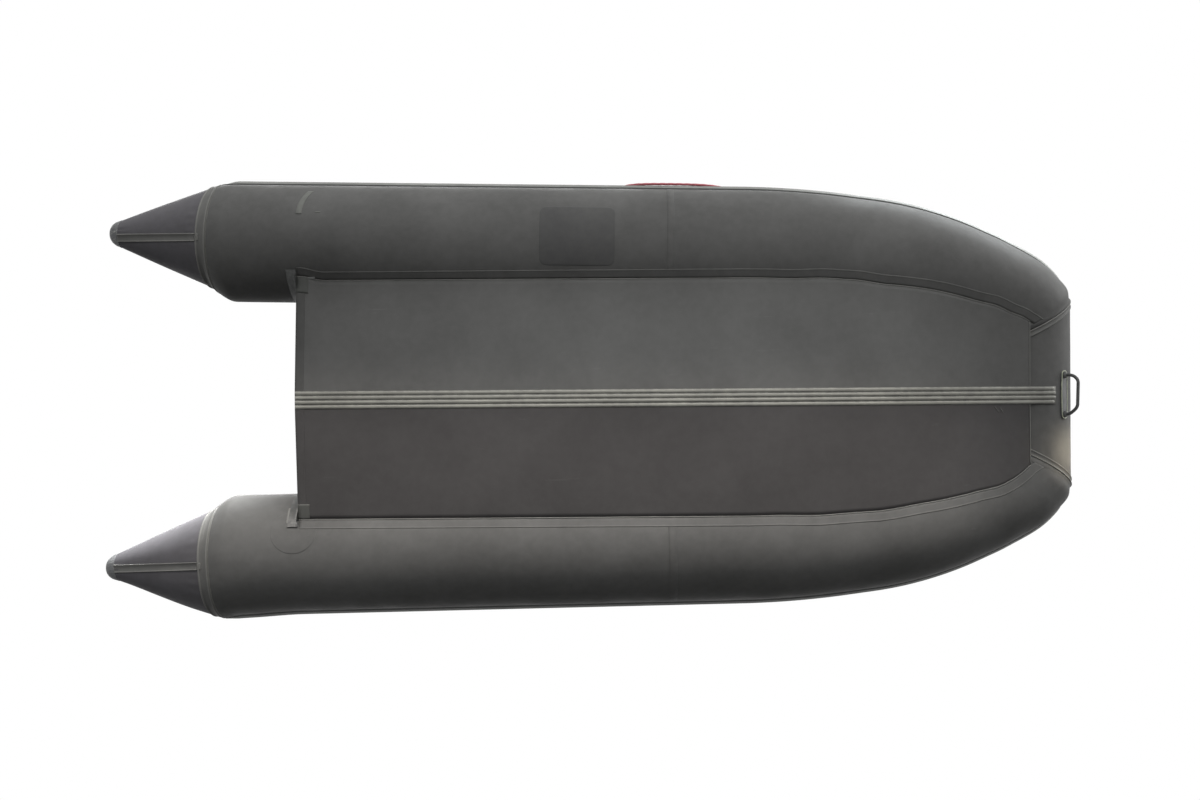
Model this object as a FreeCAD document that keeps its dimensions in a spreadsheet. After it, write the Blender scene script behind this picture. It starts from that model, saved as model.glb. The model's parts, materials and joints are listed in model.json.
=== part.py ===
import FreeCAD, Part
import math
import os
import Sketcher

# Inflatable dinghy with a fabric V-bottom, a ribbed keel strip and blunt mitred bow.
# Frame: +X to the bow, +Y to port, +Z up, the tubes standing on z = 0.
# Lengths are millimetres and angles are degrees.

SIZES = {
    # Side tubes: one straight run from the stern, then four shorter runs round the bow
    "tube_radius": 210,
    "stern_axis_y": 559,
    "straight_run": 1985,
    "straight_angle": 1.1,
    "run_one": 362,
    "heading_angle_one": 7,
    "pitch_angle_one": 4,
    "run_two": 178,
    "heading_angle_two": 14.4,
    "pitch_angle_two": 9,
    "run_three": 232,
    "heading_angle_three": 21.3,
    "pitch_angle_three": 14,
    "run_four": 144,
    "heading_angle_four": 41.2,
    "pitch_angle_four": 19.5,
    # Stern cones
    "shoulder_length": 64,
    "shoulder_radius": 186,
    "shoulder_out": 21,
    "shoulder_rise": 5,
    "cone_length": 379,
    "cone_end_radius": 42,
    "cone_out": 21,
    "cone_rise": 25,
    "cap_nose": 24,
    "cap_skirt": 20,
    "cap_wall": 2.5,
    "ring_width": 26,
    "ring_wall": 3,
    "ring_bead": 4,
    "cone_strip_width": 28,
    "cone_strip_thickness": 2,
    # Fabric bottom, keel strip and seam tapes
    "skin_thickness": 3,
    "seam_offset_stern": 130,
    "seam_offset_knee": 102,
    "seam_offset_bow": -8,
    "seam_lap": 2.5,
    "keel_strip_width": 66,
    "keel_strip_base": 1.5,
    "keel_ridge": 3,
    "keel_clearance": 2,
    "keel_touch_angle": 14,
    "keel_touch_run": 35,
    "keel_wrap_angle": 32,
    "skin_wrap_angle": 8.5,
    "forefoot_depth": 14,
    "tape_width": 35,
    "tape_thickness": 1.8,
    "corner_band": 20,
    "strake_height": 40,
    "strake_depth": 15,
    "strake_ring_gap": 12,
    # Transom
    "transom_from_cone": 255,
    "transom_thickness": 28,
    "transom_top": 400,
    "transom_top_half": 372,
    "transom_corner": 45,
    "transom_flat": 20,
    "transom_slope": 60,
    "holder_wall": 5.5,
    "holder_flange": 35,
    "holder_lip": 32,
    "holder_top": 335,
    "holder_tail": 22,
    "motor_pad_width": 320,
    "motor_pad_height": 190,
    "motor_pad_thickness": 8,
    "clamp_pad_width": 260,
    "clamp_pad_height": 150,
    "clamp_pad_thickness": 12,
    "drain_y": -150,
    "drain_height": 62,
    "drain_radius": 13.5,
    # Floor
    "floor_top": 105,
    "floor_thickness": 12,
    "panel_length": 660,
    "bow_panel_length": 840,
    "profile_wall": 2.5,
    "profile_grip": 15,
    "profile_web": 3,
    "floor_gap": 6,
    # Seats
    "rail_inset": 129,
    "rail_width": 24,
    "rail_rise": 6,
    "rail_length": 1120,
    "rail_from_transom": 470,
    "seat_depth": 230,
    "seat_thickness": 18,
    "seat_lift": 4,
    "seat_end_margin": 255,
    "cleat_margin": 25,
    "cleat_gap": 5,
    "cleat_wall": 8,
    "cleat_drop": 18,
    # Rowlocks, handle, valves and grab line eyes
    "rowlock_x": 0,
    "rowlock_base_radius": 55,
    "rowlock_boss_radius": 22,
    "rowlock_boss_height": 26,
    "pin_radius": 8,
    "pin_length": 20,
    "horn_gap": 54,
    "horn_arm": 14,
    "horn_height": 84,
    "handle_angle": 38,
    "handle_span": 140,
    "handle_reach": 55,
    "handle_bar_radius": 5,
    "handle_plate_height": 60,
    "handle_plate_span": 180,
    "handle_plate_thickness": 6,
    "valve_x": -800,
    "valve_radius": 34,
    "eye_patch_radius": 42,
    "eye_hole_radius": 5.5,
    "eye_width": 14,
    "eye_first_x": -767,
    "eye_spacing": 740,
    # Clearance between bonded fabric faces
    "seat_gap": 0.3,
}

CURVE_STEP = 40.0
KEEL_SHARE = 0.45
KEEL_FLAT_SPARE = 1.0

doc = FreeCAD.newDocument("inflatable_boat")
sheet = doc.addObject("Spreadsheet::Sheet", "sizes")
for row, (alias, number) in enumerate(SIZES.items(), start=1):
    sheet.set("A%d" % row, str(number))
    sheet.setAlias("A%d" % row, alias)
doc.recompute()

nodes = []


class Measure:
    """A length that knows its number and the sheet expression that gives it."""

    def __init__(self, value, text):
        self.value = float(value)
        self.text = text

    def __add__(self, other):
        other = measure(other)
        return Measure(self.value + other.value, "(%s + %s)" % (self.text, other.text))

    def __sub__(self, other):
        other = measure(other)
        return Measure(self.value - other.value, "(%s - %s)" % (self.text, other.text))

    def __mul__(self, other):
        other = measure(other)
        return Measure(self.value * other.value, "(%s * %s)" % (self.text, other.text))

    def __truediv__(self, other):
        other = measure(other)
        return Measure(self.value / other.value, "(%s / %s)" % (self.text, other.text))

    def __neg__(self):
        return Measure(-self.value, "(-1 * %s)" % self.text)

    def __float__(self):
        return self.value


def measure(item):
    """Turn a number into a Measure and leave a Measure as it is."""
    if isinstance(item, Measure):
        return item
    return Measure(item, "(%.6f)" % float(item))


def size(alias):
    """Return the Measure of one cell of the sheet."""
    return Measure(getattr(sheet, alias), "sizes." + alias)


def value(alias):
    """Return the number in one cell of the sheet."""
    return float(getattr(sheet, alias))


def vector(x, y, z):
    return FreeCAD.Vector(float(x), float(y), float(z))


def keep(item, label):
    """List an object as a sub-part under its own label."""
    item.Label = label
    nodes.append(item)
    return item


def feature(label, shape, placement=None):
    """Hold a computed shape as an object of the document."""
    item = doc.addObject("Part::Feature", label)
    item.Shape = shape
    if placement is not None:
        item.Placement = placement
    return item


def new_body(label, placement=None):
    """Make an empty body."""
    body = doc.addObject("PartDesign::Body", label)
    if placement is not None:
        body.Placement = placement
    return body


def plane_of(body, role):
    """Find one origin plane of a body."""
    for plane in body.Origin.OriginFeatures:
        if plane.Role == role:
            return plane
    raise ValueError(role)


def outline(body, role, corners, offset=None, name="outline"):
    """Draw a closed outline whose corners are bound to the sheet."""
    sketch = body.newObject("Sketcher::SketchObject", name)
    sketch.AttachmentSupport = (plane_of(body, role), [""])
    sketch.MapMode = "FlatFace"
    if offset is not None:
        sketch.AttachmentOffset = FreeCAD.Placement(vector(0, 0, offset), FreeCAD.Rotation())
        sketch.setExpression("AttachmentOffset.Base.z", measure(offset).text)
    corners = [(measure(u), measure(v)) for u, v in corners]
    count = len(corners)
    for index in range(count):
        start_u, start_v = corners[index]
        end_u, end_v = corners[(index + 1) % count]
        start = vector(start_u, start_v, 0)
        end = vector(end_u, end_v, 0)
        sketch.addGeometry(Part.LineSegment(start, end), False)
    for index in range(count):
        sketch.addConstraint(Sketcher.Constraint("Coincident", index, 2, (index + 1) % count, 1))
    for index, (u, v) in enumerate(corners):
        for kind, item in (("DistanceX", u), ("DistanceY", v)):
            number = sketch.addConstraint(Sketcher.Constraint(kind, -1, 1, index, 1, item.value))
            sketch.setExpression("Constraints[%d]" % number, item.text)
    return sketch


def disc(body, role, centre, radius, offset=None, name="disc"):
    """Draw a circle bound to the sheet."""
    sketch = body.newObject("Sketcher::SketchObject", name)
    sketch.AttachmentSupport = (plane_of(body, role), [""])
    sketch.MapMode = "FlatFace"
    if offset is not None:
        sketch.AttachmentOffset = FreeCAD.Placement(vector(0, 0, offset), FreeCAD.Rotation())
        sketch.setExpression("AttachmentOffset.Base.z", measure(offset).text)
    u, v = measure(centre[0]), measure(centre[1])
    radius = measure(radius)
    sketch.addGeometry(Part.Circle(vector(u, v, 0), vector(0, 0, 1), radius.value), False)
    for kind, item in (("DistanceX", u), ("DistanceY", v)):
        number = sketch.addConstraint(Sketcher.Constraint(kind, -1, 1, 0, 3, item.value))
        sketch.setExpression("Constraints[%d]" % number, item.text)
    number = sketch.addConstraint(Sketcher.Constraint("Radius", 0, radius.value))
    sketch.setExpression("Constraints[%d]" % number, radius.text)
    return sketch


def rectangle(half_u, low_v, high_v):
    """Return the corners of a rectangle that is centred on v = 0 in u."""
    half_u = measure(half_u)
    return [(-half_u, low_v), (half_u, low_v), (half_u, high_v), (-half_u, high_v)]


def pad(body, sketch, length, midplane=False, reverse=False, name="pad"):
    """Pad a sketch by a length from the sheet."""
    item = body.newObject("PartDesign::Pad", name)
    item.Profile = sketch
    item.Length = measure(length).value
    item.setExpression("Length", measure(length).text)
    item.Midplane = midplane
    item.Reversed = reverse
    doc.recompute()
    return item


def pocket(body, sketch, length, midplane=False, reverse=False, name="pocket"):
    """Cut a sketch into the body and make sure that it removed something."""
    before = body.Shape.Volume
    item = body.newObject("PartDesign::Pocket", name)
    item.Profile = sketch
    item.Length = measure(length).value
    item.setExpression("Length", measure(length).text)
    item.Midplane = midplane
    item.Reversed = reverse
    doc.recompute()
    if body.Shape.Volume > before - 1.0:
        raise RuntimeError("the pocket in %s cut nothing" % body.Name)
    return item


def turn(body, sketch, name="turn"):
    """Revolve a sketch about its own horizontal axis."""
    item = body.newObject("PartDesign::Revolution", name)
    item.Profile = sketch
    item.ReferenceAxis = (sketch, ["H_Axis"])
    item.Angle = 360.0
    doc.recompute()
    return item


def edges_along(shape, direction, test=None):
    """Name the straight edges of a shape that run along a direction."""
    names = []
    for index, edge in enumerate(shape.Edges, start=1):
        if edge.Curve.TypeId != "Part::GeomLine":
            continue
        tangent = edge.tangentAt(edge.FirstParameter)
        if abs(tangent.dot(direction)) < 0.999:
            continue
        if test is None or test(edge.CenterOfMass):
            names.append("Edge%d" % index)
    return names


def fillet(body, base, edges, radius, name="fillet"):
    """Round some edges of a feature."""
    item = body.newObject("PartDesign::Fillet", name)
    item.Base = (base, edges)
    item.Radius = measure(radius).value
    item.setExpression("Radius", measure(radius).text)
    doc.recompute()
    return item


def cut(label, base, tool):
    """Subtract one object from another."""
    item = doc.addObject("Part::Cut", label)
    item.Base = base
    item.Tool = tool
    doc.recompute()
    return item


def mirror(label, source):
    """Mirror a port piece to starboard."""
    item = doc.addObject("Part::Mirroring", label)
    item.Source = source
    item.Normal = vector(0, 1, 0)
    item.Base = vector(0, 0, 0)
    doc.recompute()
    return item


def pair(name, port_item):
    """Keep a port piece and its mirror image."""
    keep(port_item, name + "_port")
    keep(mirror(name + "_starboard", port_item), name + "_starboard")


def heading_vector(heading, pitch):
    """Direction that runs forward, inboard by the heading and up by the pitch."""
    heading = math.radians(heading)
    pitch = math.radians(pitch)
    flat = math.cos(pitch)
    return vector(flat * math.cos(heading), -flat * math.sin(heading), math.sin(pitch))


def rounded_wire(points, share=0.49):
    """Join points by straight runs with tangent arcs, as large as the runs allow."""
    edges = []
    last = points[0]
    for before, corner, after in zip(points, points[1:], points[2:]):
        run_in = corner - before
        run_out = after - corner
        reach = share * min(run_in.Length, run_out.Length)
        run_in.normalize()
        run_out.normalize()
        turn_angle = run_in.getAngle(run_out)
        start = corner - run_in * reach
        end = corner + run_out * reach
        inward = (start + end) * 0.5 - corner
        inward.normalize()
        radius = reach / math.tan(turn_angle / 2)
        middle = corner + inward * (radius / math.cos(turn_angle / 2) - radius)
        edges.append(Part.LineSegment(last, start).toShape())
        edges.append(Part.Arc(start, middle, end).toShape())
        last = end
    edges.append(Part.LineSegment(last, points[-1]).toShape())
    return Part.Wire(edges)


def circle_face(centre, axis, radius):
    """A flat round face."""
    return Part.Face(Part.Wire(Part.Circle(centre, axis, radius).toShape()))


# Path of the port tube
RUNS = (
    ("straight_run", "straight_angle", None),
    ("run_one", "heading_angle_one", "pitch_angle_one"),
    ("run_two", "heading_angle_two", "pitch_angle_two"),
    ("run_three", "heading_angle_three", "pitch_angle_three"),
    ("run_four", "heading_angle_four", "pitch_angle_four"),
)
tube_radius = value("tube_radius")
seat_gap = value("seat_gap")
steps = [heading_vector(value(heading), value(pitch) if pitch else 0.0) * value(run)
         for run, heading, pitch in RUNS]
handle_bar_reach = tube_radius + value("handle_plate_thickness") + value("handle_reach") - value("handle_bar_radius")
handle_forward = handle_bar_reach * math.cos(math.radians(value("handle_angle"))) + value("handle_bar_radius")
reach_forward = sum(step.x for step in steps) + max(tube_radius, handle_forward)
reach_aft = value("shoulder_length") + value("cone_length") + value("cap_nose")
joint_x = reach_aft - (reach_forward + reach_aft) / 2

axis_points = [vector(joint_x, value("stern_axis_y"), tube_radius)]
for step in steps:
    axis_points.append(axis_points[-1] + step)
axis_wire = rounded_wire(axis_points)
corner = axis_points[-1]
stern = axis_points[0]
stern_direction = heading_vector(value("straight_angle"), 0)
last_direction = heading_vector(value("heading_angle_four"), value("pitch_angle_four"))
bow_direction = vector(0, -1, 0)
mitre_normal = last_direction + bow_direction
mitre_normal.normalize()
transom_x = joint_x + value("transom_from_cone")


class Station:
    """A place along the axis of the port tube."""

    def __init__(self, centre, tangent):
        self.centre = centre
        self.along = FreeCAD.Vector(tangent).normalize()
        self.inboard = vector(self.along.y, -self.along.x, 0).normalize()
        self.down = self.along.cross(self.inboard)
        self.down.normalize()
        if self.down.z > 0:
            self.down = self.down * -1

    def at(self, offset, radius):
        """A point at a distance inboard on the underside of a tube of a given radius."""
        depth = math.sqrt(max(radius * radius - offset * offset, 0.0))
        return self.centre + self.inboard * offset + self.down * depth


def stations(wire, step):
    """Places along a wire, close together on the arcs and at the ends of each run."""
    found = []
    for edge in wire.OrderedEdges:
        straight = edge.Curve.TypeId == "Part::GeomLine"
        count = 1 if straight else max(2, int(math.ceil(edge.Length / step)))
        first, final = edge.ParameterRange
        for index in range(count):
            parameter = first + (final - first) * index / count
            found.append(Station(edge.valueAt(parameter), edge.tangentAt(parameter)))
    found.append(Station(edge.valueAt(final), edge.tangentAt(final)))
    return found


def place_at(x):
    """The place on the axis of the port tube at a given x."""
    places = stations(axis_wire, 5.0)
    for low, high in zip(places, places[1:]):
        if low.centre.x <= x <= high.centre.x:
            share = (x - low.centre.x) / (high.centre.x - low.centre.x)
            centre = low.centre + (high.centre - low.centre) * share
            return Station(centre, low.along + (high.along - low.along) * share)
    raise ValueError(x)


def pipe(radius):
    """The port tube at a given radius, run on beyond both of its ends."""
    points = list(axis_points)
    points[0] = stern - stern_direction * (2 * tube_radius)
    points[-1] = corner + last_direction * (2 * tube_radius)
    path = rounded_wire(points)
    return path.makePipe(circle_face(points[0], stern_direction, radius))


def half_space(point, normal, extent=4000.0):
    """A large block whose face passes through a point, on the side of its normal."""
    block = Part.makeBox(extent, 2 * extent, 2 * extent, vector(0, -extent, -extent))
    turn_to = FreeCAD.Rotation(vector(1, 0, 0), normal)
    block.Placement = FreeCAD.Placement(point, turn_to)
    return block


def mirrored_shape(shape):
    return shape.mirror(vector(0, 0, 0), vector(0, 1, 0))


# Solids that only shape their neighbours
before_mitre = half_space(corner, mitre_normal * -1)
after_stern = half_space(stern, stern_direction)


def side_tube(radius):
    """The port tube between its stern joint and the bow mitre."""
    return pipe(radius).common(before_mitre).common(after_stern)


def bow_tube(radius, spare=0.0):
    """The cross tube between the two bow mitres."""
    length = 2 * (corner.y + 2 * tube_radius)
    base = vector(corner.x, -length / 2, corner.z)
    tube = Part.makeCylinder(radius, length, base, vector(0, 1, 0))
    port_side = half_space(corner - mitre_normal * spare, mitre_normal)
    both = tube.common(port_side).common(mirrored_shape(port_side))
    return both


def clearance(spare):
    """Both side tubes and the bow tube, grown by a clearance."""
    port = pipe(tube_radius + spare).common(before_mitre)
    tubes = [port, mirrored_shape(port), bow_tube(tube_radius + spare)]
    return tubes


clear_port = feature("clear_port", pipe(tube_radius + seat_gap))
clear_bow = feature("clear_bow", bow_tube(tube_radius + seat_gap))


# Stern cone frame: local X runs aft from the ring to the tip
ring_centre = stern + vector(-value("shoulder_length"), value("shoulder_out"), value("shoulder_rise"))
cone_step = vector(-value("cone_length"), value("cone_out"), value("cone_rise"))
cone_axis_length = cone_step.Length
cone_axis = FreeCAD.Vector(cone_step).normalize()
cone_frame = FreeCAD.Placement(ring_centre, FreeCAD.Rotation(cone_axis, vector(0, 0, 0), vector(0, 0, 1), "XZY"))
cone_slope = (size("shoulder_radius") - size("cone_end_radius")) / cone_axis_length


def make_tubes():
    """Side tubes with their narrowing stern shoulders, and the bow tube between the mitres."""
    middle = stern + (ring_centre - stern) * 0.5 + vector(0, -0.2 * value("shoulder_out"), 0)
    middle_radius = 0.3 * value("shoulder_radius") + 0.7 * tube_radius
    rings = [
        Part.Wire(Part.Circle(stern, stern_direction, tube_radius).toShape()),
        Part.Wire(Part.Circle(middle, stern_direction, middle_radius).toShape()),
        Part.Wire(Part.Circle(ring_centre, cone_axis * -1, value("shoulder_radius")).toShape()),
    ]
    shoulder = Part.makeLoft(rings, True, False)
    tube = side_tube(tube_radius).fuse(shoulder)
    pair("tube", feature("tube", tube))
    keep(feature("tube_bow", bow_tube(tube_radius)), "tube_bow")


def make_cones():
    """Tapered tube ends with a ring band, a seam strip underneath and a moulded cap."""
    start_radius = size("shoulder_radius")
    end_radius = size("cone_end_radius")
    length = measure(cone_axis_length)

    body = new_body("cone_blank", cone_frame)
    sketch = outline(body, "XZ_Plane", [(0, 0), (length, 0), (length, end_radius), (0, start_radius)])
    turn(body, sketch)
    pair("cone", body)

    body = new_body("ring_blank", cone_frame)
    gap = size("seat_gap")
    width = size("ring_width")
    wall = size("ring_wall")
    bead = size("ring_bead")

    def surface(distance, rise):
        return start_radius - cone_slope * distance + gap + rise

    shoulder = width / 4
    crest = width / 8
    corners = [
        (measure(1), surface(measure(1), 0)),
        (width, surface(width, 0)),
        (width, surface(width, wall)),
        (width / 2 + shoulder, surface(width / 2 + shoulder, wall)),
        (width / 2 + crest, surface(width / 2 + crest, wall + bead)),
        (width / 2 - crest, surface(width / 2 - crest, wall + bead)),
        (width / 2 - shoulder, surface(width / 2 - shoulder, wall)),
        (measure(1), surface(measure(1), wall)),
    ]
    turn(body, outline(body, "XZ_Plane", corners))
    pair("cone_ring", body)

    body = new_body("cap_blank", cone_frame)
    nose = size("cap_nose")
    skirt = size("cap_skirt")
    wall = size("cap_wall")
    skirt_radius = end_radius + cone_slope * skirt + gap
    corners = [
        (length, measure(0)),
        (length, end_radius + gap),
        (length - skirt, skirt_radius),
        (length - skirt, skirt_radius + wall),
        (length + nose * 0.15, end_radius + wall),
        (length + nose * 0.55, end_radius * 0.88),
        (length + nose * 0.88, end_radius * 0.62),
        (length + nose, end_radius * 0.3),
        (length + nose, measure(0)),
    ]
    turn(body, outline(body, "XZ_Plane", corners))
    pair("cone_cap", body)

    thickness = value("cone_strip_thickness")
    inner = Part.makeCone(start_radius.value + seat_gap, end_radius.value + seat_gap,
                          cone_axis_length, vector(0, 0, 0), vector(1, 0, 0))
    outer = Part.makeCone(start_radius.value + seat_gap + thickness,
                          end_radius.value + seat_gap + thickness,
                          cone_axis_length, vector(0, 0, 0), vector(1, 0, 0))
    first = value("ring_width") + seat_gap
    last = cone_axis_length - value("cap_skirt") - seat_gap
    width = value("cone_strip_width")
    slab = Part.makeBox(last - first, width, 2 * tube_radius, vector(first, -width / 2, -2 * tube_radius))
    strip = outer.cut(inner).common(slab)
    pair("cone_strip", feature("strip", strip, cone_frame))


def seam_offset(station):
    """Distance inboard of the tube's lowest line at which the bottom is bonded on."""
    knee_x = axis_points[1].x
    x = station.centre.x
    at_knee = value("seam_offset_knee")
    if x < knee_x:
        share = (knee_x - x) / (knee_x - transom_x)
        return at_knee + (value("seam_offset_stern") - at_knee) * share
    share = (x - knee_x) / (corner.x - knee_x)
    return at_knee + (value("seam_offset_bow") - at_knee) * share ** 2


def keel_points():
    """Corners of the keel line, along the underside of the fabric bottom."""
    low = value("keel_clearance") + value("keel_ridge") + value("keel_strip_base")
    depth = value("forefoot_depth")
    points = [vector(transom_x, 0, low)]
    level_end = axis_points[1].x + 0.28 * value("run_one")
    points.append(vector(level_end, 0, low))
    knots = axis_points[2:5]
    for index, knot in enumerate(knots):
        rise = knot.z - tube_radius
        sunk = depth * (1 - index / (len(knots) - 1))
        points.append(vector(knot.x, 0, low + max(rise - sunk, 0.02 * rise)))
    radius = tube_radius + value("seam_lap")
    first = math.radians(value("keel_touch_angle"))
    final = math.radians(value("keel_wrap_angle"))
    touch = vector(corner.x + radius * math.sin(first), 0, corner.z - radius * math.cos(first))
    points.append(touch - vector(math.cos(first), 0, math.sin(first)) * value("keel_touch_run"))
    half = (first + final) / 2
    reach = radius / math.cos((final - first) / 2)
    points.append(vector(corner.x + reach * math.sin(half), 0, corner.z - reach * math.cos(half)))
    return points, radius, final


def keel_heights():
    """Height of the keel line against x."""
    points, _, _ = keel_points()
    wire = rounded_wire(points, KEEL_SHARE)
    return wire.discretize(240)


def height_at(line, x):
    """Read a height off a line of points."""
    if x <= line[0].x:
        return line[0].z
    for low, high in zip(line, line[1:]):
        if low.x <= x <= high.x:
            share = (x - low.x) / max(high.x - low.x, 1e-9)
            return low.z + (high.z - low.z) * share
    return line[-1].z


def bottom_stations():
    """Places along the tube that carry the edge of the fabric bottom."""
    places = [place_at(transom_x)]
    knee = [place for place in stations(axis_wire, CURVE_STEP) if place.centre.x > transom_x + 1]
    places.extend(knee)
    return places


def bottom_shape(below, above):
    """The V-bottom as a loft between cross-sections, from one height offset to another."""
    line = keel_heights()
    half_flat = value("keel_strip_width") / 2 + KEEL_FLAT_SPARE
    lap_radius = tube_radius + value("seam_lap")
    sections = []
    previous_x = None
    for place in bottom_stations():
        edge = place.at(seam_offset(place), lap_radius)
        x = transom_x if previous_x is None else edge.x
        if previous_x is not None and x < previous_x + 4:
            continue
        previous_x = x
        keel_z = height_at(line, x)
        lower = [(-edge.y, edge.z), (-half_flat, keel_z), (half_flat, keel_z), (edge.y, edge.z)]
        upper = list(reversed(lower))
        corners = [vector(x, y, z + below) for y, z in lower]
        corners.extend(vector(x, y, z + above) for y, z in upper)
        sections.append(Part.makePolygon(corners + corners[:1]))
    return Part.makeLoft(sections, True, True)


def make_bottom():
    """Fabric bottom, lapped under the tubes."""
    skin = bottom_shape(0.0, value("skin_thickness"))
    for tube in clearance(seat_gap):
        skin = skin.cut(tube)
    front_x = corner.x + tube_radius * math.sin(math.radians(value("skin_wrap_angle")))
    skin = skin.cut(half_space(vector(front_x, 0, 0), vector(1, 0, 0)))
    solid = max(skin.Solids, key=lambda item: item.Volume)
    return keep(feature("bottom_skin", solid), "bottom_skin")


def make_keel_strip(skin):
    """Ribbed strip along the keel line, up onto the bow tube."""
    points, radius, final = keel_points()
    end = vector(corner.x + radius * math.sin(final), 0, corner.z - radius * math.cos(final))
    path_points = points + [end + (end - points[-1])]
    wire = rounded_wire(path_points, KEEL_SHARE)
    half = value("keel_strip_width") / 2
    base = value("keel_strip_base")
    ridge = value("keel_ridge")
    pitch = value("keel_strip_width") / 4
    foot = pitch * 0.42
    crest = pitch * 0.22
    x = points[0].x
    z = points[0].z
    corners = [(-half, value("skin_thickness")), (-half, -base)]
    for index in range(4):
        middle = -half + pitch * (index + 0.5)
        corners.append((middle - foot, -base))
        corners.append((middle - crest, -base - ridge))
        corners.append((middle + crest, -base - ridge))
        corners.append((middle + foot, -base))
    corners.append((half, -base))
    corners.append((half, value("skin_thickness")))
    profile = [vector(x, y, z + height) for y, height in corners]
    face = Part.Face(Part.makePolygon(profile + profile[:1]))
    strip = wire.makePipe(face)
    strip = strip.cut(skin.Shape).cut(bow_tube(tube_radius + seat_gap))
    limit = half_space(end, (end - points[-1]))
    strip = strip.cut(limit)
    solid = max(strip.Solids, key=lambda item: item.Volume)
    keep(feature("keel_strip", solid), "keel_strip")


def band_section(place, first, last, inner, outer):
    """A thin strip section on the underside of the tube between two inboard offsets."""
    start = math.asin(max(-1.0, min(1.0, first / tube_radius)))
    final = math.asin(max(-1.0, min(1.0, last / tube_radius)))
    angles = [start + (final - start) * share for share in (0.0, 0.5, 1.0)]
    swell = 1 / math.cos((final - start) / 4)
    corners = [place.at(inner * swell * math.sin(angle), inner * swell) for angle in angles]
    corners.extend(place.at(outer * swell * math.sin(angle), outer * swell) for angle in reversed(angles))
    return Part.makePolygon(corners + corners[:1])


def make_seam_tapes():
    """Tapes along both edges of the fabric bottom."""
    inner = tube_radius + 2 * seat_gap
    outer = inner + value("tape_thickness")
    margin = value("corner_band") / math.cos(math.radians(20)) + 14
    start_x = transom_x + value("floor_gap")
    places = [place_at(start_x)]
    places.extend(place for place in stations(axis_wire, CURVE_STEP / 2) if place.centre.x > start_x)
    sections = []
    for place in places:
        if mitre_normal.dot(place.centre - corner) > -margin:
            continue
        start = seam_offset(place) - 2.0
        sections.append(band_section(place, start, start - value("tape_width"), inner, outer))
    tape = Part.makeLoft(sections, True, True)
    pair("seam_tape", feature("tape", tape))


def make_corner_bands(skin):
    """A tape on each side of the two mitre seams of the bow."""
    width = value("corner_band")
    inner = tube_radius + seat_gap
    outer = inner + value("tape_thickness")
    length = 3 * tube_radius
    side = pipe(outer).cut(pipe(inner))
    cross_base = corner - bow_direction * length
    cross = Part.makeCylinder(outer, 2 * length, cross_base, bow_direction)
    cross = cross.cut(Part.makeCylinder(inner, 2 * length, cross_base, bow_direction))
    behind = half_space(corner, mitre_normal * -1)
    ahead = half_space(corner, mitre_normal)
    side = side.common(behind).common(half_space(corner - mitre_normal * width, mitre_normal))
    cross = cross.common(ahead).common(half_space(corner + mitre_normal * width, mitre_normal * -1))
    for name, band in (("corner_tape_aft", side), ("corner_tape_fore", cross)):
        solid = max(band.cut(skin.Shape).Solids, key=lambda item: item.Volume)
        pair(name, feature(name, solid))


def make_strakes():
    """Rubbing strakes along the outer sides of the tubes."""
    height = value("strake_height") / 2
    depth = value("strake_depth")
    start = stern - stern_direction * (value("shoulder_length") - value("strake_ring_gap"))
    points = list(axis_points)
    points[0] = start
    reach = value("corner_band") / abs(mitre_normal.dot(last_direction)) + 1.5 * value("corner_band")
    points[-1] = corner - last_direction * min(reach + 0.62 * tube_radius * 0.4, 0.45 * value("run_four"))
    wire = rounded_wire(points, 0.49)
    outboard = vector(0, 1, 0) * math.cos(math.radians(value("straight_angle")))
    outboard = outboard + vector(1, 0, 0) * math.sin(math.radians(value("straight_angle")))
    inner = tube_radius + seat_gap
    angle = math.asin(height / inner)
    up = vector(0, 0, 1)

    def spot(distance, rise):
        return start + outboard * distance + up * rise

    low = spot(inner * math.cos(angle), -height)
    high = spot(inner * math.cos(angle), height)
    edges = [
        Part.Arc(low, spot(inner, 0), high).toShape(),
        Part.LineSegment(high, spot(inner + depth * 0.35, height)).toShape(),
        Part.Arc(spot(inner + depth * 0.35, height), spot(inner + depth, 0),
                 spot(inner + depth * 0.35, -height)).toShape(),
        Part.LineSegment(spot(inner + depth * 0.35, -height), low).toShape(),
    ]
    face = Part.Face(Part.Wire(edges))
    pair("rubbing_strake", feature("strake", wire.makePipe(face)))


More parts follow.
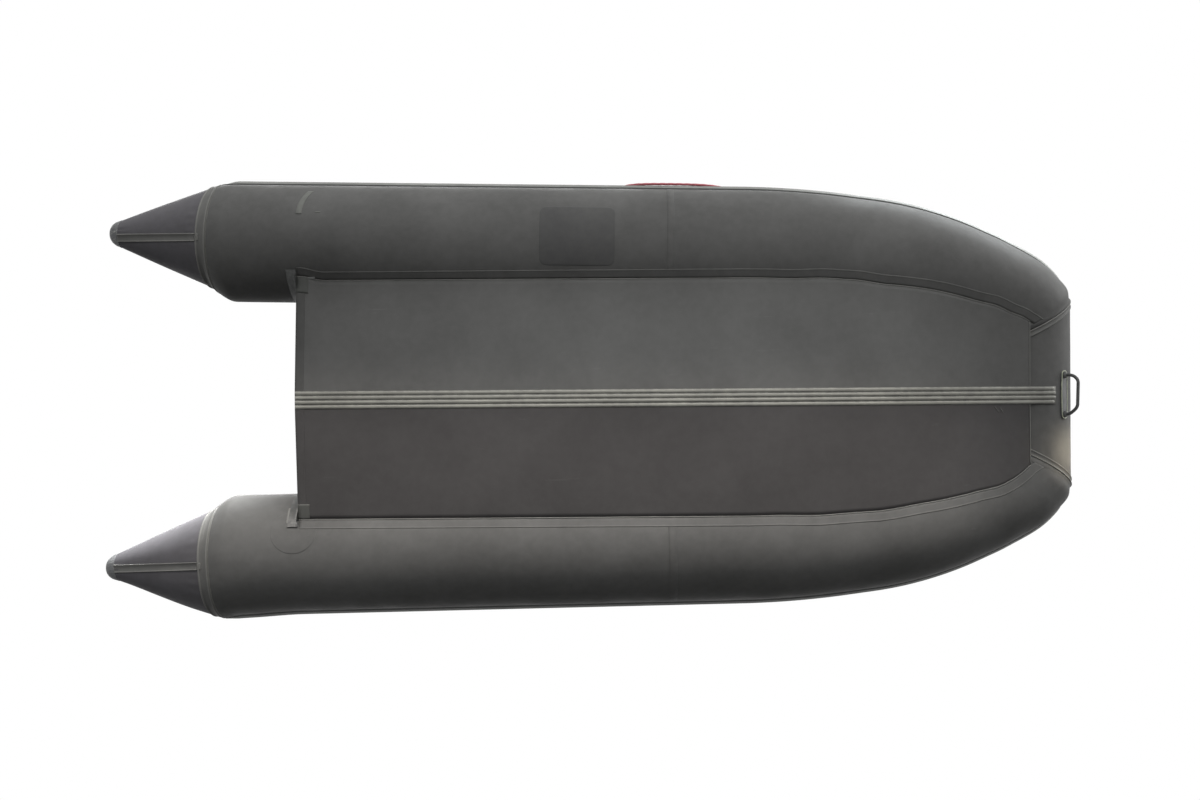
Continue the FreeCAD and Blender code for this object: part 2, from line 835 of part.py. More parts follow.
def make_transom():
    """Plywood transom with holders on the tubes, motor pads and a drain valve."""
    thickness = size("transom_thickness")
    top = size("transom_top")
    top_half = size("transom_top_half")
    frame_x = FreeCAD.Placement(vector(transom_x, 0, 0), FreeCAD.Rotation())
    body = new_body("transom_blank", frame_x)
    wide = size("stern_axis_y") - size("seam_offset_stern") - 8
    shoulder = top - size("transom_corner") - size("transom_flat")
    knee = shoulder - size("transom_slope")
    corners = [(-wide, 0), (wide, 0), (wide, knee), (top_half, shoulder), (top_half, top),
               (-top_half, top), (-top_half, shoulder), (-wide, knee)]
    board = pad(body, outline(body, "YZ_Plane", corners), thickness)
    top_edges = edges_along(board.Shape, vector(1, 0, 0), lambda spot: spot.z > top.value - 1)
    fillet(body, board, top_edges, size("transom_corner"))
    drain = disc(body, "YZ_Plane", (size("drain_y"), size("drain_height")), size("drain_radius") + 0.5)
    pocket(body, drain, thickness * 2, reverse=True)

    wall = value("holder_wall")
    under = bottom_shape(-tube_radius, value("skin_thickness"))
    grown = pipe(tube_radius + 2 * seat_gap + wall)
    shaping = under.fuse([grown, mirrored_shape(grown)])
    tool = feature("transom_seat", shaping)
    keep(cut("transom_board", body, tool), "transom_board")

    lip = value("holder_lip")
    flange = value("holder_flange")
    place = place_at(transom_x)
    edge_y = place.centre.y - value("seam_offset_stern")
    tail_y = edge_y + value("holder_tail")
    low_y = place.centre.y - tube_radius - lip - 20
    depth = value("transom_thickness")
    top_z = value("holder_top")
    base_shell = pipe(tube_radius + seat_gap + wall)
    tail = Part.makeBox(flange, tail_y - low_y, top_z, vector(transom_x - flange, low_y, 0))
    front = Part.makeBox(depth + flange, edge_y - low_y, top_z, vector(transom_x, low_y, 0))
    holder = base_shell.common(tail.fuse(front))
    for start_x in (transom_x - wall, transom_x + depth):
        lip_window = Part.makeBox(wall, edge_y - low_y, top_z, vector(start_x, low_y, 0))
        holder = holder.fuse(pipe(tube_radius + seat_gap + lip).common(lip_window))
    holder = holder.cut(pipe(tube_radius + seat_gap))
    holder = holder.cut(bottom_shape(-tube_radius, value("skin_thickness") + seat_gap))
    solid = max(holder.Solids, key=lambda item: item.Volume)
    pair("transom_holder", feature("holder", solid))

    pad_thickness = size("motor_pad_thickness")
    body = new_body("motor_pad", frame_x)
    lower = top - size("motor_pad_height") - 8
    plate = pad(body, outline(body, "YZ_Plane", rectangle(size("motor_pad_width") / 2, lower, top - 8)),
                pad_thickness, reverse=True)
    fillet(body, plate, edges_along(plate.Shape, vector(1, 0, 0)), 18)
    keep(body, "motor_pad")
    body = new_body("clamp_pad", frame_x)
    lower = top - size("clamp_pad_height") - 8
    sketch = outline(body, "YZ_Plane", rectangle(size("clamp_pad_width") / 2, lower, top - 8), thickness)
    plate = pad(body, sketch, size("clamp_pad_thickness"))
    fillet(body, plate, edges_along(plate.Shape, vector(1, 0, 0)), 14)
    keep(body, "clamp_pad")

    radius = size("drain_radius")
    frame = FreeCAD.Placement(vector(transom_x, value("drain_y"), value("drain_height")), FreeCAD.Rotation())
    body = new_body("drain_valve", frame)
    corners = [
        (measure(-5), measure(0)),
        (measure(-5), radius + 14),
        (measure(-2), radius + 17),
        (measure(0), radius + 17),
        (measure(0), radius),
        (thickness, radius),
        (thickness, radius + 13),
        (thickness + 10, radius + 13),
        (thickness + 12, radius + 10),
        (thickness + 12, measure(0)),
    ]
    turn(body, outline(body, "XZ_Plane", corners))
    keep(body, "drain_valve")


def inner_edge(height, spare):
    """Plan line of the tube's inner side at a height, with a clearance."""
    radius = tube_radius + spare
    line = []
    for place in stations(axis_wire, 20.0):
        drop = place.centre.z - height
        if abs(drop) >= radius:
            break
        offset = math.sqrt(radius * radius - drop * drop)
        line.append(place.centre + place.inboard * offset)
    return line


def width_at(line, x):
    """Half-width of a plan line at x."""
    for low, high in zip(line, line[1:]):
        if low.x <= x <= high.x:
            share = (x - low.x) / (high.x - low.x)
            return low.y + (high.y - low.y) * share
    return line[-1].y


def make_floor():
    """Plywood floor panels with side and cross profiles, and the air keel underneath."""
    top = value("floor_top")
    thickness = value("floor_thickness")
    wall = value("profile_wall")
    grip = value("profile_grip")
    gap = 0.5
    web = value("profile_web")
    profile_top = top + wall
    line = inner_edge(profile_top, gap)
    front = transom_x + value("transom_thickness") + value("holder_flange") + value("floor_gap")
    panel = value("panel_length")
    starts = [front, front + panel + web, front + 2 * (panel + web)]
    names = ("floor_panel_aft", "floor_panel_middle")
    for name, start in zip(names, starts):
        body = new_body(name, FreeCAD.Placement(vector(start, 0, top - thickness), FreeCAD.Rotation()))
        aft_half = width_at(line, start) - wall - seat_gap
        fore_half = width_at(line, start + panel) - wall - seat_gap
        length = size("panel_length")
        corners = [(0, -aft_half), (length, -fore_half), (length, fore_half), (0, aft_half)]
        pad(body, outline(body, "XY_Plane", corners), size("floor_thickness"))
        keep(body, name)

    start = starts[2]
    body = new_body("floor_panel_bow", FreeCAD.Placement(vector(start, 0, top - thickness), FreeCAD.Rotation()))
    length = value("bow_panel_length")
    plan = inner_edge(top, gap + 3)
    corners = []
    for share in (0.0, 0.3, 0.55, 0.75, 0.9):
        x = share * length
        corners.append((size("bow_panel_length") * share, measure(width_at(plan, start + x))))
    tip = width_at(plan, start + 0.9 * length)
    corners.append((size("bow_panel_length"), measure(tip * 0.6)))
    lower = [(u, -v) for u, v in reversed(corners)]
    pad(body, outline(body, "XY_Plane", list(reversed(corners + lower))), size("floor_thickness"))
    keep(body, "floor_panel_bow")

    for name, start_x in (("floor_joint_aft", starts[1]), ("floor_joint_fore", starts[2])):
        middle = start_x - web / 2
        half = width_at(line, middle + grip) - 2 * wall - grip
        body = new_body(name, FreeCAD.Placement(vector(middle, 0, top - thickness), FreeCAD.Rotation()))
        reach = size("profile_grip")
        flat = size("profile_wall")
        deep = size("floor_thickness")
        corners = [
            (-reach, -flat), (reach, -flat), (reach, measure(0)), (measure(web / 2), measure(0)),
            (measure(web / 2), deep), (reach, deep), (reach, deep + flat), (-reach, deep + flat),
            (-reach, deep), (measure(-web / 2), deep), (measure(-web / 2), measure(0)), (-reach, measure(0)),
        ]
        pad(body, outline(body, "XZ_Plane", corners), 2 * half, midplane=True)
        keep(body, name)

    aft_y = width_at(line, front)
    heading = value("straight_angle")
    turn_in = FreeCAD.Rotation(vector(0, 0, 1), -heading)
    body = new_body("stringer", FreeCAD.Placement(vector(front, aft_y, top - thickness), turn_in))
    reach = size("profile_grip") + size("profile_wall")
    flat = size("profile_wall")
    deep = size("floor_thickness")
    corners = [
        (measure(0), -flat), (measure(0), deep + flat), (-reach, deep + flat), (-reach, deep),
        (-flat, deep), (-flat, measure(0)), (-reach, measure(0)), (-reach, -flat),
    ]
    length = (size("panel_length") * 2 + web) / math.cos(math.radians(heading))
    pad(body, outline(body, "YZ_Plane", corners), length)
    pair("floor_stringer", body)

    low = value("keel_clearance") + value("keel_ridge") + value("keel_strip_base") + value("skin_thickness")
    radius = (top - thickness - wall - low) / 2 - seat_gap
    centre_z = (top - thickness - wall + low) / 2
    keel_start = front + 20
    length = axis_points[1].x - keel_start
    frame = FreeCAD.Placement(vector(keel_start, 0, centre_z), FreeCAD.Rotation())
    body = new_body("air_keel", frame)
    corners = [
        (0, 0), (0, radius * 0.45), (radius * 0.5, radius * 0.85), (radius * 1.2, radius),
        (length - radius * 2.4, radius), (length - radius, radius * 0.8), (length, radius * 0.4), (length, 0),
    ]
    turn(body, outline(body, "XZ_Plane", list(reversed(corners))))
    keep(body, "air_keel")


def surface_height(place, y):
    """Height of the top of the port tube at a distance from the middle plane."""
    across = place.centre.y - y
    return place.centre.z + math.sqrt(max(tube_radius * tube_radius - across * across, 0.0))


def make_seats():
    """Seat rails on the tubes and two seats that slide along them."""
    start_x = transom_x + value("rail_from_transom")
    end_x = start_x + value("rail_length")
    axis_y = place_at((start_x + end_x) / 2).centre.y
    rail_y = measure(axis_y) - size("rail_inset")
    outer_y = rail_y + size("rail_width") / 2
    fore = place_at(end_x)
    rail_top = surface_height(fore, outer_y.value) + value("rail_rise")
    frame = FreeCAD.Placement(vector(start_x, 0, rail_top), FreeCAD.Rotation())
    body = new_body("rail_blank", frame)
    inner_y = rail_y - size("rail_width") / 2
    low = surface_height(place_at(start_x), inner_y.value) - rail_top - 10
    corners = [(inner_y, low), (outer_y, low), (outer_y, 0), (inner_y, 0)]
    pad(body, outline(body, "YZ_Plane", corners), size("rail_length"))
    rail = cut("seat_rail", body, clear_port)
    pair("seat_rail", rail)

    depth = size("seat_depth")
    half = outer_y
    lift = size("seat_lift")
    rail_inner = inner_y
    cleat_outer = rail_inner - size("cleat_gap")
    cleat_inner = cleat_outer - size("cleat_wall")
    margin = value("seat_end_margin")
    for name, x in (("seat_fore", end_x - margin), ("seat_aft", start_x + margin)):
        body = new_body(name, FreeCAD.Placement(vector(x, 0, rail_top), FreeCAD.Rotation()))
        corners = [(-depth / 2, -half), (depth / 2, -half), (depth / 2, half), (-depth / 2, half)]
        board = pad(body, outline(body, "XY_Plane", corners, lift), size("seat_thickness"))
        board = fillet(body, board, edges_along(board.Shape, vector(0, 0, 1)), 24)
        for side in (1, -1):
            drop = size("cleat_drop")
            corners = [
                (cleat_inner * side, -drop), (cleat_outer * side, -drop),
                (cleat_outer * side, size("seat_gap")), ((half - 2) * side, size("seat_gap")),
                ((half - 2) * side, lift), (cleat_inner * side, lift),
            ]
            if side < 0:
                corners.reverse()
            cleat = outline(body, "YZ_Plane", corners, name="cleat")
            pad(body, cleat, depth - size("cleat_margin") * 2, midplane=True)
        keep(body, name)


def on_tube(x, angle):
    """Frame on the port tube: local X along the tube, local Z outward at an angle above outboard."""
    place = place_at(x)
    outboard = place.inboard * -1
    up = place.down * -1
    outward = outboard * math.cos(math.radians(angle)) + up * math.sin(math.radians(angle))
    turned = FreeCAD.Rotation(place.along, vector(0, 0, 0), outward, "XZY")
    return FreeCAD.Placement(place.centre, turned)


def upright(x):
    """Frame on top of the port tube with vertical Z, at the height of the tube's top."""
    place = place_at(x)
    return FreeCAD.Placement(vector(x, place.centre.y, place.centre.z + tube_radius), FreeCAD.Rotation())


def turned_up(label, frame, corners):
    """A body turned about its local Z axis, from corners given as height and radius."""
    aim = FreeCAD.Rotation(vector(0, 1, 0), -90)
    body = new_body(label, frame.multiply(FreeCAD.Placement(vector(0, 0, 0), aim)))
    turn(body, outline(body, "XZ_Plane", corners))
    return body


def make_rowlocks():
    """Rowlock bases on the tube tops with turning horns."""
    frame = upright(value("rowlock_x"))
    boss = size("rowlock_boss_radius")
    base = size("rowlock_base_radius")
    height = size("rowlock_boss_height")
    hole = size("pin_radius") + 0.2
    floor = height - size("pin_length") - 2
    corners = [
        (measure(-12), measure(0)),
        (floor, measure(0)),
        (floor, hole),
        (height, hole),
        (height, boss - 2),
        (height - 2, boss),
        (measure(12), boss + 3),
        (measure(5), base - 6),
        (measure(0), base),
        (measure(-12), base),
    ]
    body = turned_up("rowlock_base_blank", frame, corners)
    pair("rowlock_base", cut("rowlock_base", body, clear_port))

    lifted = frame.multiply(FreeCAD.Placement(vector(0, 0, value("rowlock_boss_height") + 0.5), FreeCAD.Rotation()))
    body = new_body("rowlock_horn", lifted)
    gap = size("horn_gap") / 2
    arm = size("horn_arm")
    tall = size("horn_height")
    corners = [
        (-arm * 1.2, measure(0)), (arm * 1.2, measure(0)), (gap + arm * 0.6, arm * 0.9),
        (gap + arm, arm * 2), (gap + arm, tall - 6), (gap + arm - 4, tall), (gap + 3, tall),
        (gap, tall - 6), (gap, arm * 2.4), (gap * 0.6, arm * 1.45), (-gap * 0.6, arm * 1.45),
        (-gap, arm * 2.4), (-gap, tall - 6), (-gap - 3, tall), (-gap - arm + 4, tall),
        (-gap - arm, tall - 6), (-gap - arm, arm * 2), (-gap - arm * 0.6, arm * 0.9),
    ]
    pad(body, outline(body, "XZ_Plane", corners), arm, midplane=True)
    pin = disc(body, "XY_Plane", (0, 0), size("pin_radius"), name="pin")
    pad(body, pin, size("pin_length"), reverse=True)
    pair("rowlock_horn", body)


def make_bow_handle():
    """Carrying handle on the lower front of the bow tube."""
    aim = FreeCAD.Rotation(vector(0, 1, 0), value("handle_angle"))
    frame = FreeCAD.Placement(vector(corner.x, 0, corner.z), aim)
    body = new_body("handle_plate_blank", frame)
    half_span = size("handle_plate_span") / 2
    half_height = size("handle_plate_height") / 2
    low = size("tube_radius") - 8
    corners = rectangle(half_span, -half_height, half_height)
    plate = pad(body, outline(body, "YZ_Plane", corners, low), size("handle_plate_thickness") + 8)
    fillet(body, plate, edges_along(plate.Shape, vector(1, 0, 0)), half_height - 1)
    keep(cut("bow_handle_plate", body, clear_bow), "bow_handle_plate")

    span = value("handle_span") / 2
    foot = tube_radius + value("handle_plate_thickness")
    points = [
        vector(foot, -span, 0),
        vector(handle_bar_reach, -span + 4, 0),
        vector(handle_bar_reach, span - 4, 0),
        vector(foot, span, 0),
    ]
    wire = rounded_wire(points, 0.45)
    start = points[1] - points[0]
    grip = wire.makePipe(circle_face(points[0], start, value("handle_bar_radius")))
    wide = value("handle_plate_span")
    outside = Part.makeBox(wide, wide, wide, vector(foot, -wide / 2, -wide / 2))
    grip = grip.common(outside)
    item = feature("bow_handle_grip", grip, frame)
    keep(item, "bow_handle_grip")


def make_fittings():
    """Inflation valves and grab line eyes."""
    radius = size("valve_radius")
    base = size("tube_radius")
    corners = [
        (base - 8, measure(0)),
        (base + 11, measure(0)),
        (base + 11, radius * 0.5),
        (base + 9, radius * 0.6),
        (base + 4, radius * 0.66),
        (base + 4, radius - 3),
        (base + 2, radius),
        (base - 8, radius),
    ]
    body = turned_up("valve_blank", on_tube(value("valve_x"), 130.0), corners)
    pair("valve", cut("valve", body, clear_port))

    patch = size("eye_patch_radius")
    hole = size("eye_hole_radius")
    for index, name in enumerate(("aft", "middle", "fore")):
        x = value("eye_first_x") + index * value("eye_spacing")
        frame = on_tube(x, 32.0)
        corners = [
            (base - 10, measure(0)),
            (base + 3, measure(0)),
            (base + 3, patch - 4),
            (base + 1, patch),
            (base - 10, patch),
        ]
        body = turned_up("eye_blank_" + name, frame, corners)
        tall = base + 3 + hole * 2 + 5
        half = hole + 4
        block = outline(body, "XY_Plane", [(base + 2, -half), (tall, -half * 0.7), (tall, half * 0.7),
                                           (base + 2, half)], name="loop")
        pad(body, block, size("eye_width"), midplane=True)
        bore = disc(body, "XY_Plane", (base + 3 + hole + 1, 0), hole, name="bore")
        pocket(body, bore, size("eye_width") * 3, midplane=True)
        pair("line_eye_" + name, cut("line_eye_" + name, body, clear_port))


make_tubes()
make_cones()
bottom = make_bottom()
make_keel_strip(bottom)
make_seam_tapes()
make_corner_bands(bottom)
make_strakes()
make_transom()
make_floor()
make_seats()
make_rowlocks()
make_bow_handle()
make_fittings()
doc.recompute()

for item in doc.Objects:
    for state in ("Invalid", "Error"):
        if state in item.State:
            raise RuntimeError("%s is %s" % (item.Label, state))
for item in nodes:
    if item.Shape.isNull() or not item.Shape.isValid():
        raise RuntimeError("%s has no valid shape" % item.Label)

os.makedirs("parts", exist_ok=True)
for item in nodes:
    item.Shape.exportStep("parts/%s.step" % item.Label)
    print("%-26s solids %d  volume %10.0f" % (item.Label, len(item.Shape.Solids), item.Shape.Volume))
print("nodes", len(nodes), "corner", corner, "transom x", transom_x)
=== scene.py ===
import bisect
import bpy
import json
from math import asin, atan2, copysign, cos, exp, pi, radians, sin, sqrt, tan, tau
from mathutils import Matrix, Vector, noise


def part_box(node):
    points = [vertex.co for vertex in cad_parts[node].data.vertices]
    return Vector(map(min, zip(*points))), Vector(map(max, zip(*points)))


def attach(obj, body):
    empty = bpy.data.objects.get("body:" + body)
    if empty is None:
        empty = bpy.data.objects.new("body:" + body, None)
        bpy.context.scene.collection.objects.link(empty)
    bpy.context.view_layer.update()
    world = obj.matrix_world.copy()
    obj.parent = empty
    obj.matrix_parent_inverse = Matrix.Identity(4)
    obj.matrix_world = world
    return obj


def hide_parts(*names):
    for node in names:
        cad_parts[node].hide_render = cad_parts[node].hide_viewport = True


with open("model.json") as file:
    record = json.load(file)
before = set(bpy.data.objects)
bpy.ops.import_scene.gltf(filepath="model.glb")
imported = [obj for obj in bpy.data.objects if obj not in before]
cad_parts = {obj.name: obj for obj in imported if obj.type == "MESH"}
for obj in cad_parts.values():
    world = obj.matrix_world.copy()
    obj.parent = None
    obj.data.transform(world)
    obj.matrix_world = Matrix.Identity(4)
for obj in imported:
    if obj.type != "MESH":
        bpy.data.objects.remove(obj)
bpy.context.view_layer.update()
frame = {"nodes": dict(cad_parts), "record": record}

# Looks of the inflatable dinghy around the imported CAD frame.
# Frame in metres: +X to the bow, +Y to port, +Z up, the tubes standing on z = 0.
nodes = frame["nodes"]

PORT = 1
STARBOARD = -1
SIDES = (("port", PORT), ("starboard", STARBOARD))
UP = Vector((0, 0, 1))

# Side tubes: length, heading inboard and pitch up of each straight run, as in the part
TUBE_RADIUS = 0.210
STERN_AXIS_Y = 0.559
RUNS = ((1.985, 1.1, 0.0), (0.362, 7.0, 4.0), (0.178, 14.4, 9.0), (0.232, 21.3, 14.0), (0.144, 41.2, 19.5))
ARC_SHARE = 0.49
SHOULDER_LENGTH = 0.064
SHOULDER_RADIUS = 0.186
SHOULDER_STEP = Vector((-SHOULDER_LENGTH, 0.021, 0.005))
SHOULDER_CURVE = 1.74
CONE_STEP = Vector((-0.379, 0.021, 0.025))
CONE_END_RADIUS = 0.042
TRANSOM_FROM_CONE = 0.255

# Bottom's bonded edge: metres inboard of a tube's lowest line at the transom, the knee and the bow
SEAM_OFFSETS = (0.130, 0.102, -0.008)
SEAM_LAP = 0.0025
PIPING_LIFT = 0.0022
# How the photograph's seams differ from it, and between which x each difference comes and goes
SEAM_INBOARD = 0.0135
SEAM_BOW_INBOARD = 0.006
SEAM_BOW_LIMITS = (1.15, 1.38)
SEAM_FORE_FADE = (1.50, 1.42)
SEAM_AFT_FADE = (0.012, 0.10)
SEAM_KNEE_OUT = 0.010
SEAM_KNEE_LIMITS = {PORT: (0.62, 0.80, 1.14, 0.95), STARBOARD: (0.66, 0.82, 1.02, 0.90)}

# Fabric bottom and keel strip, as in the part, and how far the photograph's lie to port
KEEL_LOW = 0.0065
KEEL_HALF = 0.034
KEEL_SHARE = 0.45
KEEL_TOUCH_ANGLE = radians(14)
KEEL_WRAP_ANGLE = radians(32)
KEEL_TOUCH_RUN = 0.035
KEEL_RUN_ON = 0.034
FOREFOOT_DEPTH = 0.014
FLAT_SHARE = 0.08
KEEL_DRIFT = 0.0075
KEEL_NARROWED = 0.955
SHEET_THICKNESS = 0.0012
SHEET_CLEARANCE = 0.0014
# Columns of the bottom's upper and under faces together: 1 on the port half, which takes a darker fabric as
# painted shade
BOTTOM_COLUMNS = 51
PORT_SHADE_COLUMNS = [0] * 25 + [1] * 51 + [0] * 26
# Rows of the hem and of its corner patches: distance from the transom and drop under the bottom
HEM = ((-0.0008, -0.0006), (0.010, -0.0007), (0.020, -0.0007), (0.0285, -0.0006), (0.030, -0.0001))
HEM_CORNERS = ((-0.0010, -0.0012), (0.014, -0.0013), (0.028, -0.0013), (0.0385, -0.0011), (0.040, -0.0004))

# Bow handle and its grip
PLATE_ANGLE = radians(43.5)
PLATE_HALF = 0.021
HANDLE_DRIFT = 0.006
GRIP_HALF = 0.070
GRIP_REACH = 0.052
GRIP_WIDE = 0.0062
GRIP_THICK = 0.0052

# Grab lines, with the lowest angles of the tail and of both slack stretches in degrees above the
# side of the tube, and the strakes that the lines may lie on
LINE_LOW = {PORT: (10, 11, 9), STARBOARD: (7, 10, -1.0)}
LINE_SKEW = 0.74
LINE_TAIL = 0.150
EYE_ANGLE = 32
EYE_LIFT = 0.0095
ROPE_RADIUS = 0.0047
ROPE_LAY = 0.030
EYE_BLEND = 0.05
STRAKE_RING_GAP = 0.012
STRAKE_MITRE_GAP = 0.026
STRAKE_EDGE = 0.020
STRAKE_TOP = 0.0155
STRAKE_HALF = 0.0275
ROPE_CLEARANCE = 0.0005

# Patches on the tubes: x, degrees round the tube from straight below, half sizes, corner radius, lift
ROUND_PATCHES = ((0.0, 180, 0.085, 0.080, 0.078, 0.0009), (-0.800, 220, 0.062, 0.060, 0.058, 0.0009))
PLAIN_PATCH = (-0.054, 5.8, 0.130, 0.108, 0.026, 0.0005)
DASH = (-0.953, 25.6, 0.009, 0.0022, 0.002, 0.0014)
HOLDER_PATCH = (-1.043, -26.5, 0.080, 0.080, 0.078, 0.0005)
# The holder strip stands for a painted highlight on the transom holder's flange.
HOLDER_HIGHLIGHT_STRIP = (-1.062, -44.0, 0.009, 0.034, 0.003, 0.0016)
# Other marks: x and degrees of the band's two ends, x of the panel seam, and x and y along each crease
CORNER_BAND = ((-1.019, 23.4), (-0.993, 55.0))
PANEL_SEAM_X = 0.257
CREASES = (((1.403, 0.042), (1.411, 0.058), (1.424, 0.067)), ((1.425, 0.047), (1.430, 0.061), (1.440, 0.069)))
VALVE_X = -0.800
VALVE_ANGLE = 220

# Widths of the soft edges of hard parts, by the first letters of the node
SOFT_EDGES = {"transom_board": 0.0030, "motor_pad": 0.0020, "clamp_pad": 0.0020, "floor_panel": 0.0016,
              "seat_": 0.0020, "floor_joint": 0.0006, "floor_stringer": 0.0006, "rowlock": 0.0010,
              "line_eye": 0.0008, "transom_holder": 0.0015, "drain_valve": 0.0010, "valve": 0.0010}

# Fullness of the inflated fabric over the solids, and where it comes and goes
CORNER_BULGE = 0.022
CORNER_RISE = 0.026
CORNER_FADE = (0.29, 0.10)
STERN_BULGE = 0.009
STERN_LIMITS = (-0.30, -0.06)
SHOULDER_BULGE = 0.012
SHOULDER_LIMITS = (-0.080, -0.010)
CONE_FADE = (0.37, 0.05)
TIP_MOVED = Vector((-0.022, 0.010, 0.0))
STRIP_INBOARD = 0.0195

# Gathers beside a seam: waves round, height and reach, and the distances where they start and are full
TUBE_GATHERS = (30, 0.0010, 0.055, 0.020, 0.036)
BOW_GATHERS = (30, 0.0010, 0.055, 0.022, 0.036)
SHOULDER_GATHERS = (34, 0.0007, 0.034, 0.016, 0.028)
RING_GATHERS = (34, 0.0011, 0.045, 0.0, 0.012)
CAP_GATHERS = (16, 0.0009, 0.035, 0.0, 0.010)

# Where the fabric of a cone comes out from under its ring and its cap
RING_COVER = 0.024
CAP_COVER = 0.020

# How far a patch reaches into the surface below, and how wide its rounded edge is
PATCH_DEPTH = 0.0006
PATCH_EDGE = 0.0012

# Fineness of the tubes' skins
TUBE_COLUMNS = 128
TUBE_STEP = 0.014
BOW_BLEND = 0.34
BOW_ROWS = 36


# Small helpers


def smooth(low, high, x):
    """Smooth step from 0 at low to 1 at high."""
    share = min(max((x - low) / (high - low), 0.0), 1.0)
    return share * share * (3 - 2 * share)


def spaced(first, last, count):
    """Even steps from first to last, both included."""
    return [first + (last - first) * step / count for step in range(count + 1)]


def metres(*pairs):
    """Points of a profile in metres, from pairs in millimetres."""
    return [(first / 1000, second / 1000) for first, second in pairs]


def rounds(count):
    """Angles of even steps round a circle."""
    return [tau * step / count for step in range(count)]


def halved(low, high, below):
    """Value between low and high up to which a test holds, found by halving."""
    for _ in range(40):
        middle = (low + high) / 2
        if below(middle):
            low = middle
        else:
            high = middle
    return low


def heading_vector(heading, pitch):
    """Direction forward, inboard by the heading and up by the pitch, in degrees."""
    heading = radians(heading)
    pitch = radians(pitch)
    flat = cos(pitch)
    return Vector((flat * cos(heading), -flat * sin(heading), sin(pitch)))


def ray_out(along, angle):
    """Direction out from a tube's axis. The angle is 0 straight below and grows outboard, in radians."""
    inboard = Vector((along.y, -along.x, 0)).normalized()
    down = along.cross(inboard).normalized()
    return down * cos(angle) - inboard * sin(angle)


class RoundedPath:
    """Straight runs joined by tangent arcs."""

    def __init__(self, points, share):
        self.pieces = []
        self.length = 0.0
        last = points[0]
        for before, corner, after in zip(points, points[1:], points[2:]):
            run_in = corner - before
            run_out = after - corner
            reach = share * min(run_in.length, run_out.length)
            along_in = run_in.normalized()
            along_out = run_out.normalized()
            turn = along_in.angle(along_out)
            start = corner - along_in * reach
            self.add_line(last, start)
            side = (along_out - along_in * cos(turn)).normalized()
            radius = reach / tan(turn / 2)
            self.pieces.append((self.length, start, along_in, side, radius))
            self.length += radius * turn
            last = corner + along_out * reach
        self.add_line(last, points[-1])

    def add_line(self, start, end):
        self.pieces.append((self.length, start, (end - start).normalized(), None, None))
        self.length += (end - start).length

    def at(self, distance):
        """Centre and direction at a distance from the first point."""
        found = self.pieces[0]
        for piece in self.pieces:
            if piece[0] <= distance:
                found = piece
        begin, start, along, side, radius = found
        run = distance - begin
        if radius is None:
            return start + along * run, along
        angle = run / radius
        centre = start + along * (radius * sin(angle)) + side * (radius * (1 - cos(angle)))
        return centre, along * cos(angle) + side * sin(angle)


# Geometry of the tubes, all of it on the port side


steps = [heading_vector(heading, pitch) * length for length, heading, pitch in RUNS]
corner_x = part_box("tube_bow")[1].x - TUBE_RADIUS
axis_points = [Vector((corner_x - sum(step.x for step in steps), STERN_AXIS_Y, TUBE_RADIUS))]
for step in steps:
    axis_points.append(axis_points[-1] + step)
stern = axis_points[0]
knee_x = axis_points[1].x
corner = axis_points[-1]
tube_path = RoundedPath(axis_points, ARC_SHARE)
stern_direction = heading_vector(RUNS[0][1], 0)
mitre_normal = (heading_vector(*RUNS[-1][1:]) + Vector((0, -1, 0))).normalized()
transom_x = stern.x + TRANSOM_FROM_CONE
bottom_front = corner_x + 0.003
cone_axis = CONE_STEP.normalized()
cone_length = CONE_STEP.length
ALL_ROUND = rounds(TUBE_COLUMNS)


def on_tube(distance, angle, lift=0.0):
    """Point on a tube at a distance along it and an angle round it."""
    centre, along = tube_path.at(distance)
    return centre + ray_out(along, angle) * (TUBE_RADIUS + lift)


def distance_at(x):
    """Distance along the tube at which its centre line has a given x."""
    return halved(0.0, tube_path.length, lambda distance: tube_path.at(distance)[0].x < x)


def mitre_gap(point):
    """Distance of a point from the mitre plane between the side tube and the bow tube."""
    return (corner - point).dot(mitre_normal)


def mitre_limit(angle, gap=0.0):
    """Distance along the tube at which a line at an angle is a gap short of the mitre plane."""
    first = tube_path.length - 0.34
    last = tube_path.length + 0.30
    return halved(first, last, lambda distance: mitre_gap(on_tube(distance, angle)) > gap)


def hump(x, limits):
    """Smooth rise between the first two limits, and fall from the last to the third."""
    return smooth(*limits[:2], x) * smooth(*limits[2:], x)


def seam_offset(x, side):
    """Distance inboard of the tube's lowest line at which the bottom is bonded on."""
    at_stern, at_knee, at_bow = SEAM_OFFSETS
    moved = -SEAM_KNEE_OUT * hump(x, SEAM_KNEE_LIMITS[side])
    if side == STARBOARD:
        inboard = SEAM_INBOARD + SEAM_BOW_INBOARD * smooth(*SEAM_BOW_LIMITS, x)
        aft, full = SEAM_AFT_FADE
        moved += inboard * hump(x, (transom_x + aft, transom_x + full, *SEAM_FORE_FADE))
    if x < knee_x:
        return at_knee + (at_stern - at_knee) * (knee_x - x) / (knee_x - transom_x) + moved
    share = (x - knee_x) / (corner.x - knee_x)
    return at_knee + (at_bow - at_knee) * share ** 2 + moved


def seam_angle(distance, side):
    """Angle of the bottom's edge on the tube. It is negative, because it is inboard."""
    offset = seam_offset(tube_path.at(distance)[0].x, side)
    return -asin(offset / TUBE_RADIUS)


# Mesh helpers


def measured(line):
    """Running length along a line of points, back to its first point."""
    run = [0.0]
    for before, after in zip(line, line[1:] + line[:1]):
        run.append(run[-1] + (after - before).length)
    return run


def carried(line, ring=False):
    """Each point of a line, with two directions across it that turn as little as they can."""
    size = len(line)
    side = None
    for index, point in enumerate(line):
        if ring:
            along = line[(index + 1) % size] - line[index - 1]
        else:
            along = line[min(index + 1, size - 1)] - line[max(index - 1, 0)]
        along.normalize()
        side = along.orthogonal() if side is None else side - along * side.dot(along)
        side.normalize()
        yield point, side, along.cross(side)


